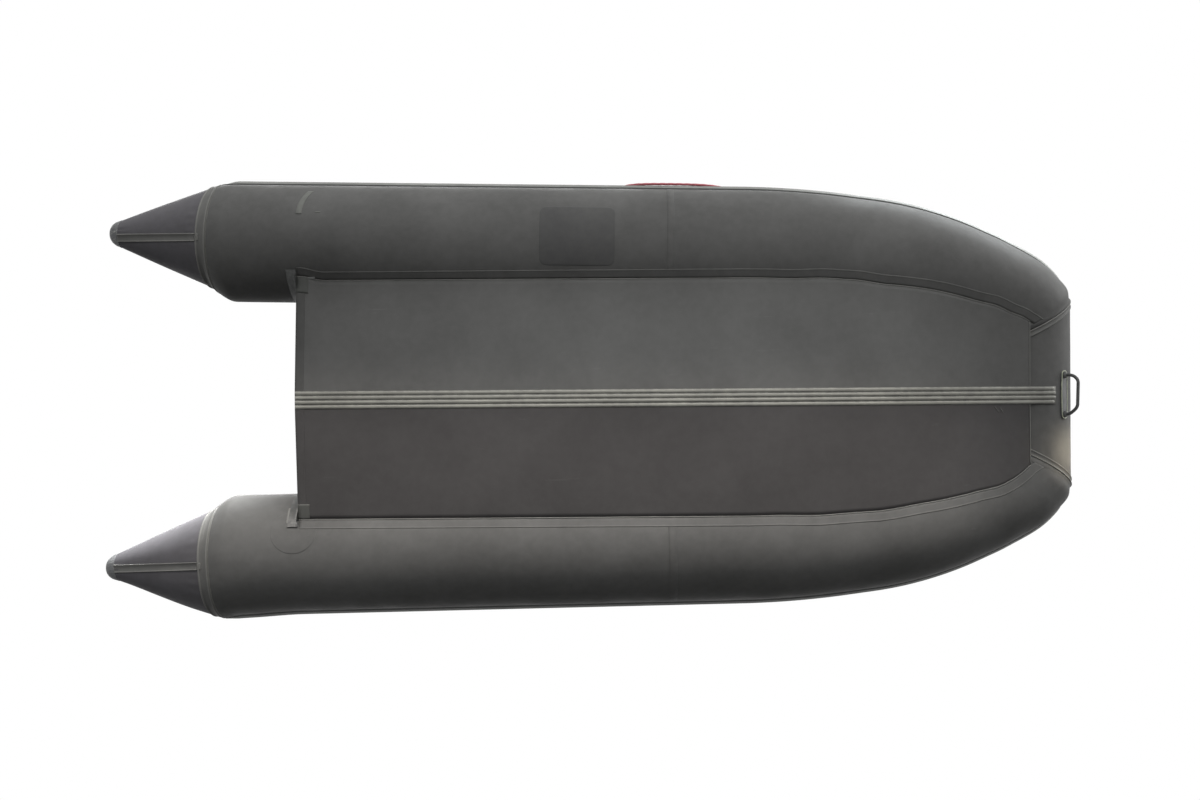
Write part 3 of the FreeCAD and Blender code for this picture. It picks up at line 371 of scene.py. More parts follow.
def section_round(centre, side, other, radii):
    """Closed section round a centre, with a radius for each of its points."""
    angles = rounds(len(radii))
    return [centre + (side * cos(angle) + other * sin(angle)) * radius
            for angle, radius in zip(angles, radii)]


class Shape:
    """One mesh made of closed skins, mirrored to its side of the boat."""

    def __init__(self, side=PORT):
        self.side = side
        self.points = []
        self.faces = []
        self.corners = []
        self.tones = []

    def skin(self, sections, ring=False, tone=0):
        """Join closed cross-sections. Ends are capped, unless the sections close into a ring.

        The tone is the number of a material, or a list with a number for each column.
        """
        first = len(self.points)
        count = len(sections)
        width = len(sections[0])
        tones = tone if isinstance(tone, list) else [tone] * width
        for section in sections:
            self.points.extend(Vector((point.x, point.y * self.side, point.z)) for point in section)
        along = measured([section[0] for section in sections])
        around = measured(sections[count // 2])
        faces = []
        for row in range(count if ring else count - 1):
            here = first + row * width
            following = first + (row + 1) % count * width
            for column in range(width):
                beside = (column + 1) % width
                face = [here + column, here + beside, following + beside, following + column]
                u, next_u = along[row:row + 2]
                v, next_v = around[column:column + 2]
                corners = [(u, v), (u, next_v), (next_u, next_v), (next_u, v)]
                faces.append((face, corners, tones[column]))
        if not ring:
            for row, order in ((0, range(width - 1, -1, -1)), (count - 1, range(width))):
                corners = [(along[row], around[column]) for column in order]
                faces.append(([first + row * width + column for column in order], corners, tones[0]))
        outward = self.volume([face for face, _, _ in faces]) > 0
        for face, corners, picked in faces:
            self.faces.append(face if outward else face[::-1])
            self.corners.append(corners if outward else corners[::-1])
            self.tones.append(picked)
        return self

    def volume(self, faces):
        """Signed volume, which is positive where the faces point outward."""
        total = 0.0
        origin = self.points[faces[0][0]]
        for face in faces:
            start = self.points[face[0]] - origin
            for second, third in zip(face[1:], face[2:]):
                total += start.dot((self.points[second] - origin).cross(self.points[third] - origin))
        return total

    def sweep(self, line, radius, count=8, ring=False, tone=0, fade=False):
        """Round bead along a line of points. A fading one is thin at both ends."""
        sections = []
        for index, (point, side, other) in enumerate(carried(line, ring)):
            reach = radius
            if fade:
                reach *= 0.15 + 0.85 * sin(pi * index / (len(line) - 1))
            sections.append(section_round(point, side, other, [reach] * count))
        self.skin(sections, ring, tone)

    def rope(self, line, radius):
        """Rope of three twisted strands along a line of points."""
        path = []
        for start, end in zip(line, line[1:]):
            count = max(1, int((end - start).length / 0.004))
            path.extend(start.lerp(end, index / count) for index in range(count))
        path.append(line[-1])
        sections = []
        for run, (point, side, other) in zip(measured(path), carried(path)):
            radii = []
            for angle in rounds(15):
                strand = abs(cos(1.5 * (angle - run / ROPE_LAY * tau / 3)))
                radii.append(radius * (0.82 + 0.18 * strand))
            sections.append(section_round(point, side, other, radii))
        self.skin(sections)

    def knot(self, point, along, radius):
        """Stopper knot: two turns of rope round the line's end, and a short tail."""
        side = along.orthogonal().normalized()
        other = along.cross(side)
        line = []
        for index in range(41):
            angle = tau * 2 * index / 40
            reach = radius * (1.15 + 0.25 * sin(angle / 2))
            ray = side * cos(angle) + other * sin(angle)
            line.append(point + ray * reach + along * (radius * (0.9 * index / 20 - 1.0)))
        self.sweep(line, radius * 0.82, count=10)
        self.rope([point, point + along * radius * 4.5], radius * 0.9)

    def patch(self, spot, half_length, half_width, radius, lift, tone=0):
        """Thin rounded patch on a surface. The spot gives a point for along, across and a lift."""
        rows = 26
        columns = 14
        shares = [-cos(pi * column / columns) for column in range(columns + 1)]
        sections = []
        for row in range(rows + 1):
            along = -half_length * cos(pi * row / rows)
            beyond = max(abs(along) - (half_length - radius), 0.0)
            half = max(half_width - radius + sqrt(max(radius * radius - beyond * beyond, 0.0)), 0.0004)
            section = []
            for share in shares:
                gap = min(half_length - abs(along), half * (1 - abs(share)))
                section.append(spot(along, half * share, lift * smooth(-PATCH_EDGE, PATCH_EDGE, gap)))
            section.extend(spot(along, half * share, -PATCH_DEPTH) for share in reversed(shares))
            sections.append(section)
        self.skin(sections, tone=tone)

    def lathe(self, centre, axis, profile, count=24, knurl=None):
        """Turned form. The profile gives heights along the axis and radii, a knurl waves and height."""
        axis = axis.normalized()
        side = axis.orthogonal().normalized()
        other = axis.cross(side)
        sections = []
        for height, radius in profile:
            radii = [radius] * count
            if knurl and radius > profile[0][1] * 0.9:
                radii = [radius + knurl[1] * sin(angle * knurl[0]) for angle in rounds(count)]
            sections.append(section_round(centre + axis * height, side, other, radii))
        self.skin(sections)

    def screw(self, centre, axis, radius, recess=True):
        """Domed screw or rivet head with a washer."""
        profile = [(-0.0005, 1.35), (0.0006, 1.35), (0.0009, 1.2), (0.0009, 1.0), (0.0018, 0.92),
                   (0.0028, 0.62)]
        if recess:
            profile += [(0.0029, 0.42), (0.0014, 0.36), (0.0013, 0.05)]
        else:
            profile += [(0.0031, 0.3), (0.0032, 0.05)]
        self.lathe(centre, axis, [(height, radius * share) for height, share in profile], 14)

    def build(self, name, slot, *materials, body="hull", stands_for=(), sharp=None):
        """Make the mesh piece and let it ride on its body. The slot's own material is the default."""
        mesh = bpy.data.meshes.new(name)
        mesh.from_pydata([tuple(point) for point in self.points], [], self.faces)
        layer = mesh.uv_layers.new(name="UVMap")
        flat = [value for corners in self.corners for place in corners for value in place]
        layer.data.foreach_set("uv", flat)
        mesh.polygons.foreach_set("material_index", self.tones)
        mesh.polygons.foreach_set("use_smooth", [True] * len(self.faces))
        for material in materials or (slot,):
            mesh.materials.append(looks[material])
        mesh.update()
        if sharp is not None:
            mesh.set_sharp_from_angle(angle=radians(sharp))
        item = bpy.data.objects.new(name, mesh)
        bpy.context.scene.collection.objects.link(item)
        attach(item, body)
        if stands_for:
            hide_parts(*stands_for)
        return item


# Materials


def linear(red, green, blue):
    """Linear colour of a display colour from 0 to 255."""
    values = []
    for part in (red, green, blue):
        part = part / 255
        values.append(part / 12.92 if part <= 0.04045 else ((part + 0.055) / 1.055) ** 2.4)
    return (*values, 1.0)


def paler(colour, times, plus=0.0):
    """A lighter tone of a colour."""
    return tuple(min(1.0, part * times + plus) for part in colour[:3]) + (1.0,)


class NodeTree:
    """Short calls for the nodes of a material or of the world."""

    def __init__(self, tree):
        self.tree = tree

    def fill(self, node, values):
        """Give inputs of a node their numbers and colours, or link the outputs that feed them."""
        for socket, item in values.items():
            if isinstance(item, bpy.types.NodeSocket):
                self.tree.links.new(item, node.inputs[socket])
            else:
                node.inputs[socket].default_value = item

    def node(self, kind, values=None, **words):
        """Make a node with its properties and inputs, and give its outputs."""
        made = self.tree.nodes.new("ShaderNode" + kind)
        for key, item in words.items():
            setattr(made, key, item)
        self.fill(made, values or {})
        return made.outputs

    def spread(self, source, low, high, start=0.0, end=1.0):
        """Map a value from one range to another, held at its ends."""
        values = {"Value": source, "From Min": low, "From Max": high, "To Min": start, "To Max": end}
        return self.node("MapRange", values)["Result"]

    def combine(self, kind, first, second):
        """Combine two values, or a value and a number."""
        return self.node("Math", {0: first, 1: second}, operation=kind)["Value"]


class Surface(NodeTree):
    """A material with a Principled shader and short calls for its texture nodes."""

    def __init__(self, name, coordinates="Object"):
        self.material = bpy.data.materials.new(name)
        self.material.use_nodes = True
        super().__init__(self.material.node_tree)
        self.shader = self.tree.nodes["Principled BSDF"]
        self.place = self.node("TexCoord")[coordinates]

    def noise(self, scale, detail=3.0, rough=0.55, stretch=None, twist=0.0):
        """A noise texture from 0 to 1."""
        place = self.place
        if stretch:
            place = self.node("Mapping", {"Vector": place, "Scale": stretch})["Vector"]
        values = {"Vector": place, "Scale": scale, "Detail": detail, "Roughness": rough, "Distortion": twist}
        return self.node("TexNoise", values)["Fac"]

    def varied(self, source, middle, less, more):
        """A value round a middle one, which follows a texture."""
        return self.spread(source, 0.3, 0.7, middle - less, middle + more)

    def blend(self, share, first, second):
        """Mix two colours by a value."""
        return self.node("Mix", {0: share, 6: first, 7: second}, data_type="RGBA")[2]

    def two_tone(self, source, dark, pale, low=0.3, high=0.7):
        """A colour between two tones that follows a texture."""
        return self.blend(self.spread(source, low, high), dark, pale)

    def bump(self, height, distance, strength=1.0, before=None):
        """A bump of a height in metres."""
        values = {"Height": height, "Distance": distance, "Strength": strength}
        if before:
            values["Normal"] = before
        return self.node("Bump", values)["Normal"]

    def finish(self, colour, rough, specular, normal=None, metallic=0.0):
        """Join the textures to the shader."""
        values = {"Base Color": colour, "Roughness": rough, "Metallic": metallic}
        values["Specular IOR Level"] = specular
        if normal:
            values["Normal"] = normal
        self.fill(self.shader, values)
        return self.material


def coated_fabric(name, dark, pale, roughness):
    """Coated boat fabric: fine weave, cloudy tone, a few pale scuffs along the boat."""
    surface = Surface(name)
    cloud = surface.spread(surface.noise(2.6, 4.0, 0.6), 0.35, 0.65)
    mottle = surface.spread(surface.noise(34.0, 3.0, 0.6), 0.35, 0.65)
    cloud = surface.combine("MULTIPLY", cloud, 0.7)
    tone = surface.combine("ADD", cloud, surface.combine("MULTIPLY", mottle, 0.3))
    colour = surface.blend(tone, dark, pale)
    streaks = surface.noise(7.0, 6.0, 0.7, stretch=(0.5, 5.0, 5.0))
    scratches = surface.spread(streaks, 0.66, 0.80, 0.0, 0.35)
    colour = surface.blend(scratches, colour, paler(pale, 1.9))
    rough = surface.varied(surface.noise(9.0, 4.0, 0.6), roughness, 0.07, 0.07)
    threads = {"Vector": surface.node("TexCoord")["UV"], "Scale": 150.0}
    warp = surface.node("TexWave", threads, bands_direction="X")["Fac"]
    weft = surface.node("TexWave", threads, bands_direction="Y")["Fac"]
    normal = surface.bump(surface.noise(5.0, 2.0, 0.5), 0.0012, 0.5)
    normal = surface.bump(surface.combine("MULTIPLY", warp, weft), 0.00012, 0.5, normal)
    normal = surface.bump(surface.noise(420.0, 2.0, 0.5), 0.00008, 0.5, normal)
    return surface.finish(colour, rough, 0.03, normal)


def moulded(name, dark, pale, roughness):
    """Moulded rubber or plastic with a fine grain and rubbed high spots."""
    surface = Surface(name)
    colour = surface.two_tone(surface.noise(6.0, 4.0, 0.6), dark, pale, 0.35, 0.65)
    edge = surface.spread(surface.node("NewGeometry")["Pointiness"], 0.52, 0.60)
    rubbed = surface.combine("MULTIPLY", edge, surface.spread(surface.noise(40.0), 0.4, 0.7))
    colour = surface.blend(rubbed, colour, paler(pale, 1.8, 0.01))
    rough = surface.varied(surface.noise(24.0, 4.0), roughness, 0.08, 0.08)
    normal = surface.bump(surface.noise(320.0, 3.0, 0.6), 0.0002, 0.6)
    return surface.finish(colour, rough, 0.4, normal)


def scuffed_rubber(name, dark, pale, roughness):
    """Moulded rubber with pale scraped patches."""
    surface = Surface(name)
    colour = surface.two_tone(surface.noise(14.0, 4.0, 0.6), dark, pale, 0.35, 0.65)
    scrapes = surface.spread(surface.noise(38.0, 6.0, 0.75, stretch=(1.0, 1.6, 1.6)), 0.56, 0.66, 0.0, 0.7)
    colour = surface.blend(scrapes, colour, linear(150, 150, 146))
    rough = surface.varied(surface.noise(24.0, 4.0), roughness, 0.08, 0.12)
    normal = surface.bump(surface.noise(120.0, 4.0, 0.7), 0.0006, 0.7)
    return surface.finish(colour, rough, 0.35, normal)


def painted_plywood(name, dark, pale, roughness):
    """Painted plywood: long grain under the paint, small knocks and rubbed paint."""
    surface = Surface(name)
    grain = surface.noise(16.0, 6.0, 0.65, stretch=(0.6, 7.0, 7.0), twist=0.4)
    colour = surface.two_tone(grain, dark, pale)
    rubs = surface.spread(surface.noise(11.0, 6.0, 0.75), 0.63, 0.74, 0.0, 0.5)
    colour = surface.blend(rubs, colour, paler(pale, 1.7))
    rough = surface.varied(surface.noise(14.0, 4.0), roughness, 0.1, 0.1)
    normal = surface.bump(grain, 0.0006, 0.5)
    normal = surface.bump(surface.noise(600.0, 2.0), 0.00025, 0.5, normal)
    return surface.finish(colour, rough, 0.4, normal)


def brushed_aluminium(name, dark, pale, roughness):
    """Bare metal with fine drawn lines."""
    surface = Surface(name)
    lines = surface.noise(160.0, 3.0, 0.6, stretch=(0.05, 1.0, 1.0))
    colour = surface.two_tone(lines, dark, pale)
    rough = surface.varied(surface.noise(30.0, 4.0), roughness, 0.08, 0.08)
    return surface.finish(colour, rough, 0.5, surface.bump(lines, 0.00008, 0.6), 1.0)


def twisted_rope(name, dark, pale, roughness):
    """Laid rope with fine fibres."""
    surface = Surface(name, "UV")
    fibres = surface.noise(900.0, 3.0, 0.6, stretch=(0.2, 1.0, 1.0))
    colour = surface.two_tone(fibres, dark, pale)
    rough = surface.varied(fibres, roughness, 0.1, 0.1)
    return surface.finish(colour, rough, 0.3, surface.bump(fibres, 0.0003, 0.6))


# Kind, dark and pale display colour, and roughness of each material
MATERIALS = {
    "tube_fabric": (coated_fabric, (72, 72, 71), (84, 84, 83), 0.52),
    "cone_fabric": (coated_fabric, (71, 70, 72), (82, 81, 84), 0.52),
    "bottom_fabric": (coated_fabric, (74, 74, 73), (84, 84, 83), 0.60),
    # Darker fabric for the port half of the bottom: painted shade on that half.
    "port_panel": (coated_fabric, (59, 58, 58), (67, 66, 66), 0.60),
    "tape_fabric": (coated_fabric, (79, 79, 78), (92, 92, 90), 0.52),
    # Pale fabric for beads and raised edges: painted highlights.
    "pale_fabric": (coated_fabric, (94, 94, 92), (108, 108, 105), 0.50),
    "pale_patch": (coated_fabric, (86, 87, 84), (96, 97, 94), 0.52),
    "hem_fabric": (coated_fabric, (66, 66, 65), (75, 75, 74), 0.58),
    "patch_fabric": (coated_fabric, (68, 69, 67), (77, 78, 76), 0.56),
    "dark_patch": (coated_fabric, (67, 67, 67), (77, 77, 76), 0.56),
    "keel_rubber": (moulded, (95, 95, 90), (109, 109, 103), 0.55),
    # Darker rubber as painted shade: in the keel strip's grooves, and in the gap at a cone band's fore lip.
    "keel_groove": (moulded, (62, 62, 59), (72, 72, 68), 0.65),
    "black_rubber": (moulded, (46, 47, 47), (58, 59, 58), 0.55),
    "pale_rubber": (moulded, (112, 116, 100), (130, 134, 116), 0.50),
    "strake_rubber": (moulded, (96, 97, 94), (112, 113, 110), 0.50),
    "cap_rubber": (scuffed_rubber, (74, 75, 76), (92, 93, 94), 0.55),
    "hard_plastic": (moulded, (38, 39, 40), (50, 51, 52), 0.42),
    "holder_rubber": (moulded, (44, 45, 44), (54, 55, 54), 0.50),
    "marine_plywood": (painted_plywood, (92, 94, 93), (110, 112, 110), 0.52),
    "aluminium_profile": (brushed_aluminium, (168, 170, 172), (196, 198, 200), 0.38),
    "stainless": (brushed_aluminium, (168, 170, 172), (196, 198, 200), 0.38),
    "line_rope": (twisted_rope, (136, 62, 68), (166, 96, 102), 0.75),
}
looks = {}
for name, (make, dark, pale, roughness) in MATERIALS.items():
    looks[name] = make(name, linear(*dark), linear(*pale), roughness)

for row in frame["record"]["subparts"]:
    node = nodes[row["node"]]
    node.data.materials.clear()
    node.data.materials.append(looks[row["material_slot"]])
for side_name, _ in SIDES:
    nodes["transom_holder_" + side_name].data.materials[0] = looks["holder_rubber"]

for part, width in SOFT_EDGES.items():
    for name in nodes:
        if name.startswith(part):
            bevel = nodes[name].modifiers.new("soft_edge", "BEVEL")
            bevel.width = width
            bevel.segments = 2
            bevel.limit_method = "ANGLE"
            bevel.angle_limit = radians(40)
            bevel.harden_normals = True


# Inflated tubes and cones


def swell(point, side):
    """Slight unevenness of an inflated surface."""
    spot = Vector((point.x * 2.4, point.y * 5.0 + side * 7.0, point.z * 5.0))
    return 0.0008 * noise.noise(spot) + 0.0003 * noise.noise(spot * 3.1)


def gathers(angle, gap, kind):
    """Short gathers in the fabric that fade with the distance from a seam."""
    waves, height, reach, start, full = kind
    wave = sin(angle * waves + 2.0 * sin(angle * 5.0)) * (0.6 + 0.4 * sin(angle * 3.0 + 1.0))
    return height * wave * exp(-(gap / reach) ** 2) * smooth(start, full, gap)


def outer_share(angle):
    """1 at the outboard side of a tube and 0 at its bottom, its top and inboard."""
    return smooth(0.0, 1.0, sin(angle))


def corner_fullness(gap, angle):
    """Extra roundness of the tube's outer side just before the bow mitre."""
    rise = 1 - exp(-(max(gap, 0.0) / CORNER_RISE) ** 2)
    return CORNER_BULGE * rise * smooth(*CORNER_FADE, gap) * outer_share(angle)


def stern_fullness(distance, angle, side):
    """Extra roundness at the outer side of the port stern, where the distance is back from the ring."""
    if side == STARBOARD:
        return 0.0
    full = STERN_BULGE * smooth(*STERN_LIMITS, distance) + SHOULDER_BULGE * smooth(*SHOULDER_LIMITS, distance)
    return full * smooth(*CONE_FADE, distance) * outer_share(angle)


def tube_point(distance, angle, side, lift=0.0):
    """Point on the slightly uneven surface of a side tube."""
    point = on_tube(distance, angle)
    gap = mitre_gap(point)
    uneven = swell(point, side) * smooth(0.0, 0.03, gap) * smooth(0.0, 0.10, distance)
    full = corner_fullness(gap, angle) + stern_fullness(-SHOULDER_LENGTH - distance, angle, side)
    return on_tube(distance, angle, lift + uneven + gathers(angle, gap, TUBE_GATHERS) + full)


def tube_rows(first, angles, gap=0.0):
    """Distances for the rows of a skin that ends square to the mitre, one for each angle."""
    blend_start = tube_path.length - BOW_BLEND
    rows = int((blend_start - first) / TUBE_STEP)
    lines = [[distance] * len(angles) for distance in spaced(first, blend_start, rows)[:-1]]
    limits = [mitre_limit(angle, gap) for angle in angles]
    for row in range(BOW_ROWS + 1):
        share = (row / BOW_ROWS) ** 0.8
        lines.append([blend_start + (limit - blend_start) * share for limit in limits])
    return lines


def shoulder_point(share, angle, lift=0.0):
    """Point on the narrowing stern shoulder, from the tube at 0 to the ring at 1."""
    bent = share ** SHOULDER_CURVE
    back, out, up = SHOULDER_STEP
    centre = stern + Vector((back * share, out * bent, up * bent))
    along = (stern_direction * (1 - bent) - cone_axis * bent).normalized()
    radius = TUBE_RADIUS + (SHOULDER_RADIUS - TUBE_RADIUS) * bent
    lift += gathers(angle, SHOULDER_LENGTH * (1 - share), SHOULDER_GATHERS)
    return centre + ray_out(along, angle) * (radius + lift)


def make_side_tube(name, side):
    """Side tube from the cone ring to the bow mitre."""
    sections = []
    for share in (1.0, 0.92, 0.84, 0.76, 0.68, 0.6, 0.5, 0.4, 0.3, 0.2, 0.1):
        back = -SHOULDER_LENGTH * (1 - share)
        sections.append([shoulder_point(share, angle, stern_fullness(back, angle, side))
                         for angle in ALL_ROUND])
    for line in tube_rows(0.0, ALL_ROUND):
        sections.append([tube_point(distance, angle, side) for distance, angle in zip(line, ALL_ROUND)])
    skin = Shape(side).skin(sections)
    skin.build("tube_skin_" + name, "tube_fabric", stands_for=("tube_" + name,))


def bow_point(angle, y, lift=0.0):
    """Point on the bow tube: the angle is 0 straight below and grows forward."""
    reach = TUBE_RADIUS + lift
    return Vector((corner.x + reach * sin(angle), y, corner.z - reach * cos(angle)))


def bow_end(angle, lift=0.0, gap=0.0):
    """Distance from the middle at which the bow tube is a gap short of the mitre plane."""
    reach = TUBE_RADIUS + lift
    across = (sin(angle) * mitre_normal.x - cos(angle) * mitre_normal.z) * reach
    return corner.y + (gap - across) / mitre_normal.y


def make_bow_tube():
    """Cross tube between the two mitres."""
    sections = []
    for step in spaced(-0.5, 0.5, 52):
        share = sin(step * pi) * 0.5 + 0.5
        section = []
        for angle in ALL_ROUND:
            end = bow_end(angle)
            y = -end + 2 * end * share
            gap = end - abs(y)
            uneven = swell(bow_point(angle, y), PORT) * smooth(0.0, 0.03, gap)
            section.append(bow_point(angle, y, uneven + gathers(angle, gap, BOW_GATHERS)))
        sections.append(section)
    Shape().skin(sections).build("bow_skin", "tube_fabric", stands_for=("tube_bow",))


def cone_radius(distance):
    """Radius of a cone at a distance aft of the ring."""
    return SHOULDER_RADIUS + (CONE_END_RADIUS - SHOULDER_RADIUS) * distance / cone_length


def cone_centre(distance, side):
    """Centre of a cone at a distance aft of the ring. The port cone is a little longer."""
    centre = stern + SHOULDER_STEP + cone_axis * distance
    if side == PORT:
        centre += TIP_MOVED * (distance / cone_length)
    return centre


def cone_point(distance, angle, side, lift=0.0):
    """Point on a cone at a distance aft of the ring. The angle is 0 below and grows outboard."""
    return cone_centre(distance, side) + ray_out(-cone_axis, angle) * (cone_radius(distance) + lift)


def fabric_point(distance, angle, side, lift=0.0):
    """Point on the uneven fabric of a cone."""
    lift += 0.0016 * sin(pi * distance / cone_length)
    lift += gathers(angle, distance - RING_COVER, RING_GATHERS)
    lift += gathers(angle, cone_length - CAP_COVER - distance, CAP_GATHERS)
    spot = Vector((distance * 6.0, angle + side * 3.0, 1.0))
    lift += stern_fullness(distance, angle, side)
    lift += 0.0008 * noise.noise(spot) * smooth(0.02, 0.06, distance)
    return cone_point(distance, angle, side, lift)


def ring_point(distance, angle, side, lift):
    """Point near the ring, aft of it on the cone or forward of it on the shoulder."""
    if distance >= 0:
        return cone_point(distance, angle, side, lift)
    return shoulder_point(1 + distance / SHOULDER_LENGTH, angle, lift)


def make_cone(name, side):
    """Fabric of a tapered tube end."""
    sections = []
    for distance in spaced(0.0, cone_length, 44):
        sections.append([fabric_point(distance, angle, side) for angle in ALL_ROUND])
    skin = Shape(side).skin(sections)
    skin.build("cone_skin_" + name, "tube_fabric", "cone_fabric", stands_for=("cone_" + name,))


def make_cone_ring(name, side, moved):
    """Band with two beads over the joint of cone and tube, and a tab on the cone's seam; the beads and the
    tab are painted pale as highlights, the fore lip dark as shade.
    """
    band = metres((22.5, -1), (22.5, 1.2), (20.8, 3.2), (18.6, 4.2), (16.4, 3.2), (15, 1.6), (4, 1.4),
                  (-8, 1.6), (-9.6, 2.6), (-11.2, 3.1), (-12.8, 2.6), (-14, 1), (-14.5, 0.4), (-17.8, 0.3),
                  (-18, -0.8))
    sections = []
    for angle in ALL_ROUND:
        full = stern_fullness(0.0, angle, side)
        sections.append([ring_point(distance, angle, side, lift + full) for distance, lift in band])
    shape = Shape(side)
    # Tone 1 paints the beads pale as painted highlights; tone 2 paints the lip forward of the fore bead dark,
    # an adhesive line that also stands for the painted shadow in the gap.
    shape.skin(sections, ring=True, tone=[1, 1, 1, 1, 1, 0, 0, 0, 1, 1, 0, 2, 2, 2, 0])

    def on_ring(along, across, lift):
        return ring_point(0.0115 + along, (across - moved) / SHOULDER_RADIUS, side, lift)

    # The tab is pale, a painted highlight on the strip's end.
    shape.patch(on_ring, 0.0035, 0.0125, 0.0030, 0.0040, tone=1)
    shape.build("cone_band_" + name, "tape_fabric", "tape_fabric", "pale_fabric", "keel_groove",
                stands_for=("cone_ring_" + name,))


def make_cone_strip(name, side, moved):
    """Seam strip with two raised edges along the underside of a cone."""
    edge = metres((14, -1), (14, 2.6), (12.4, 3.3), (10.8, 2.6), (9.6, 1.4))
    strip = [(-across, lift) for across, lift in edge] + edge[::-1]
    sections = []
    for distance in spaced(0.0235, cone_length - 0.018, 40):
        radius = cone_radius(distance)
        sections.append([fabric_point(distance, (across - moved) / radius, side, lift)
                         for across, lift in strip])
    # Tone 1 paints both raised edges pale as painted highlights.
    skin = Shape(side).skin(sections, tone=[1, 1, 1, 1, 0, 1, 1, 1, 1, 0])
    skin.build("cone_seam_" + name, "tape_fabric", "tape_fabric", "pale_fabric",
               stands_for=("cone_strip_" + name,))


def make_cone_cap(name, side):
    """Moulded cap with a ribbed skirt on the tip of a cone."""
    profile = metres((-21, 47.6), (-20.5, 50.4), (-18, 50.2), (-10, 46.7), (0, 43.4), (6, 39.5), (12, 35),
                     (18, 27.5), (22, 18), (23.8, 8), (24, 1))
    sections = []
    for distance, radius in profile:
        ribs = 0.0006 * smooth(-0.02, -0.015, distance) * smooth(0.004, 0.0, distance)
        centre = cone_centre(cone_length + distance, side)
        sections.append([centre + ray_out(-cone_axis, angle) * (radius + ribs * sin(angle * 24))
                         for angle in rounds(72)])
    skin = Shape(side).skin(sections)
    skin.build("cone_tip_" + name, "black_rubber", "cap_rubber", stands_for=("cone_cap_" + name,), sharp=60)


# Fabric bottom and keel strip


def keel_line():
    """Line of the bottom's fold, from the transom up onto the bow tube."""
    points = [Vector((transom_x, 0, KEEL_LOW)), Vector((knee_x + 0.28 * RUNS[1][0], 0, KEEL_LOW))]
    knots = axis_points[2:5]
    for index, knot in enumerate(knots):
        rise = knot.z - TUBE_RADIUS
        sunk = FOREFOOT_DEPTH * (1 - index / (len(knots) - 1))
        points.append(Vector((knot.x, 0, KEEL_LOW + max(rise - sunk, 0.02 * rise))))
    level = Vector((cos(KEEL_TOUCH_ANGLE), 0, sin(KEEL_TOUCH_ANGLE)))
    points.append(bow_point(KEEL_TOUCH_ANGLE, 0, SEAM_LAP) - level * KEEL_TOUCH_RUN)
    middle = (KEEL_TOUCH_ANGLE + KEEL_WRAP_ANGLE) / 2
    reach = (TUBE_RADIUS + SEAM_LAP) / cos((KEEL_WRAP_ANGLE - KEEL_TOUCH_ANGLE) / 2)
    points.append(bow_point(middle, 0, reach - TUBE_RADIUS))
    points.append(bow_point(KEEL_WRAP_ANGLE, 0, SEAM_LAP) * 2 - points[-1])
    return RoundedPath(points, KEEL_SHARE)


keel_path = keel_line()
keel_samples = [keel_path.at(distance)[0] for distance in spaced(0.0, keel_path.length, 500)]
keel_xs = [sample.x for sample in keel_samples]
tube_samples = [tube_path.at(distance)[0] for distance in spaced(0.0, tube_path.length, 400)]
tube_xs = [sample.x for sample in tube_samples]


def keel_height(x):
    """Height of the bottom's fold at x."""
    index = min(max(bisect.bisect_left(keel_xs, x), 1), len(keel_xs) - 1)
    low, high = keel_samples[index - 1], keel_samples[index]
    share = (x - low.x) / (high.x - low.x)
    return low.z + (high.z - low.z) * min(max(share, 0.0), 1.0)


def seam_edge(distance, side, beyond=0.0, lift=SEAM_LAP):
    """Point on a tube beside the bottom's bonded edge. Beyond is metres outboard of it."""
    return on_tube(distance, seam_angle(distance, side) + beyond / TUBE_RADIUS, lift)


def edge_distance(x, side):
    """Distance along the tube at which the bottom's edge has a given x."""
    return halved(0.0, tube_path.length, lambda distance: seam_edge(distance, side).x < x)


def clear_of_tubes(point):
    """Move a port point of the bottom out of the side tube and the bow tube."""
    reach = TUBE_RADIUS + SHEET_CLEARANCE
    window = 0.12
    first = bisect.bisect_left(tube_xs, point.x - window)
    last = max(bisect.bisect_right(tube_xs, point.x + window), first + 1)
    near = min(tube_samples[first:last], key=lambda centre: (centre - point).length_squared)
    away = point - near
    if away.length < reach:
        point = near + away * (reach / away.length)
    away = Vector((point.x - corner.x, 0, point.z - corner.z))
    if away.length < reach and point.y < bow_end(atan2(away.x, -away.z)):
        point = Vector((corner.x, point.y, corner.z)) + away * (reach / away.length)
    return point


def bottom_line(x, first=-1.0, last=1.0, count=BOTTOM_COLUMNS):
    """Points of the bottom's underside across the boat, from share -1 at starboard to 1 at port."""
    port_edge, starboard_edge = [seam_edge(edge_distance(x, side), side) for side in (PORT, STARBOARD)]
    low = keel_height(x)
    line = []
    for share in spaced(first, last, count - 1):
        out = abs(share)
        edge = port_edge if share > 0 else starboard_edge
        part = max((out - FLAT_SHARE) / (1 - FLAT_SHARE), 0.0)
        if out <= FLAT_SHARE:
            point = Vector((x, KEEL_HALF * out / FLAT_SHARE, low))
        else:
            y = KEEL_HALF + (edge.y - KEEL_HALF) * part
            side = copysign(1, share)
            slack = 0.0011 * noise.noise(Vector((x * 2.2, y * 3.5 * side, 3.0))) * sin(pi * part)
            drawn = 0.0004 * noise.noise(Vector((x * 26.0, y * 6.0 * side, 8.0)))
            drawn *= exp(-((1 - part) / 0.16) ** 2)
            point = Vector((x, y, low + (edge.z - low) * part + slack + drawn))
            point = clear_of_tubes(point)
        line.append(Vector((point.x, copysign(point.y, share) + KEEL_DRIFT * (1 - part), point.z)))
    return line


def slab(line, below, above):
    """Closed section of a thin sheet between two height offsets from a line."""
    return [point + UP * below for point in line] + [point + UP * above for point in reversed(line)]


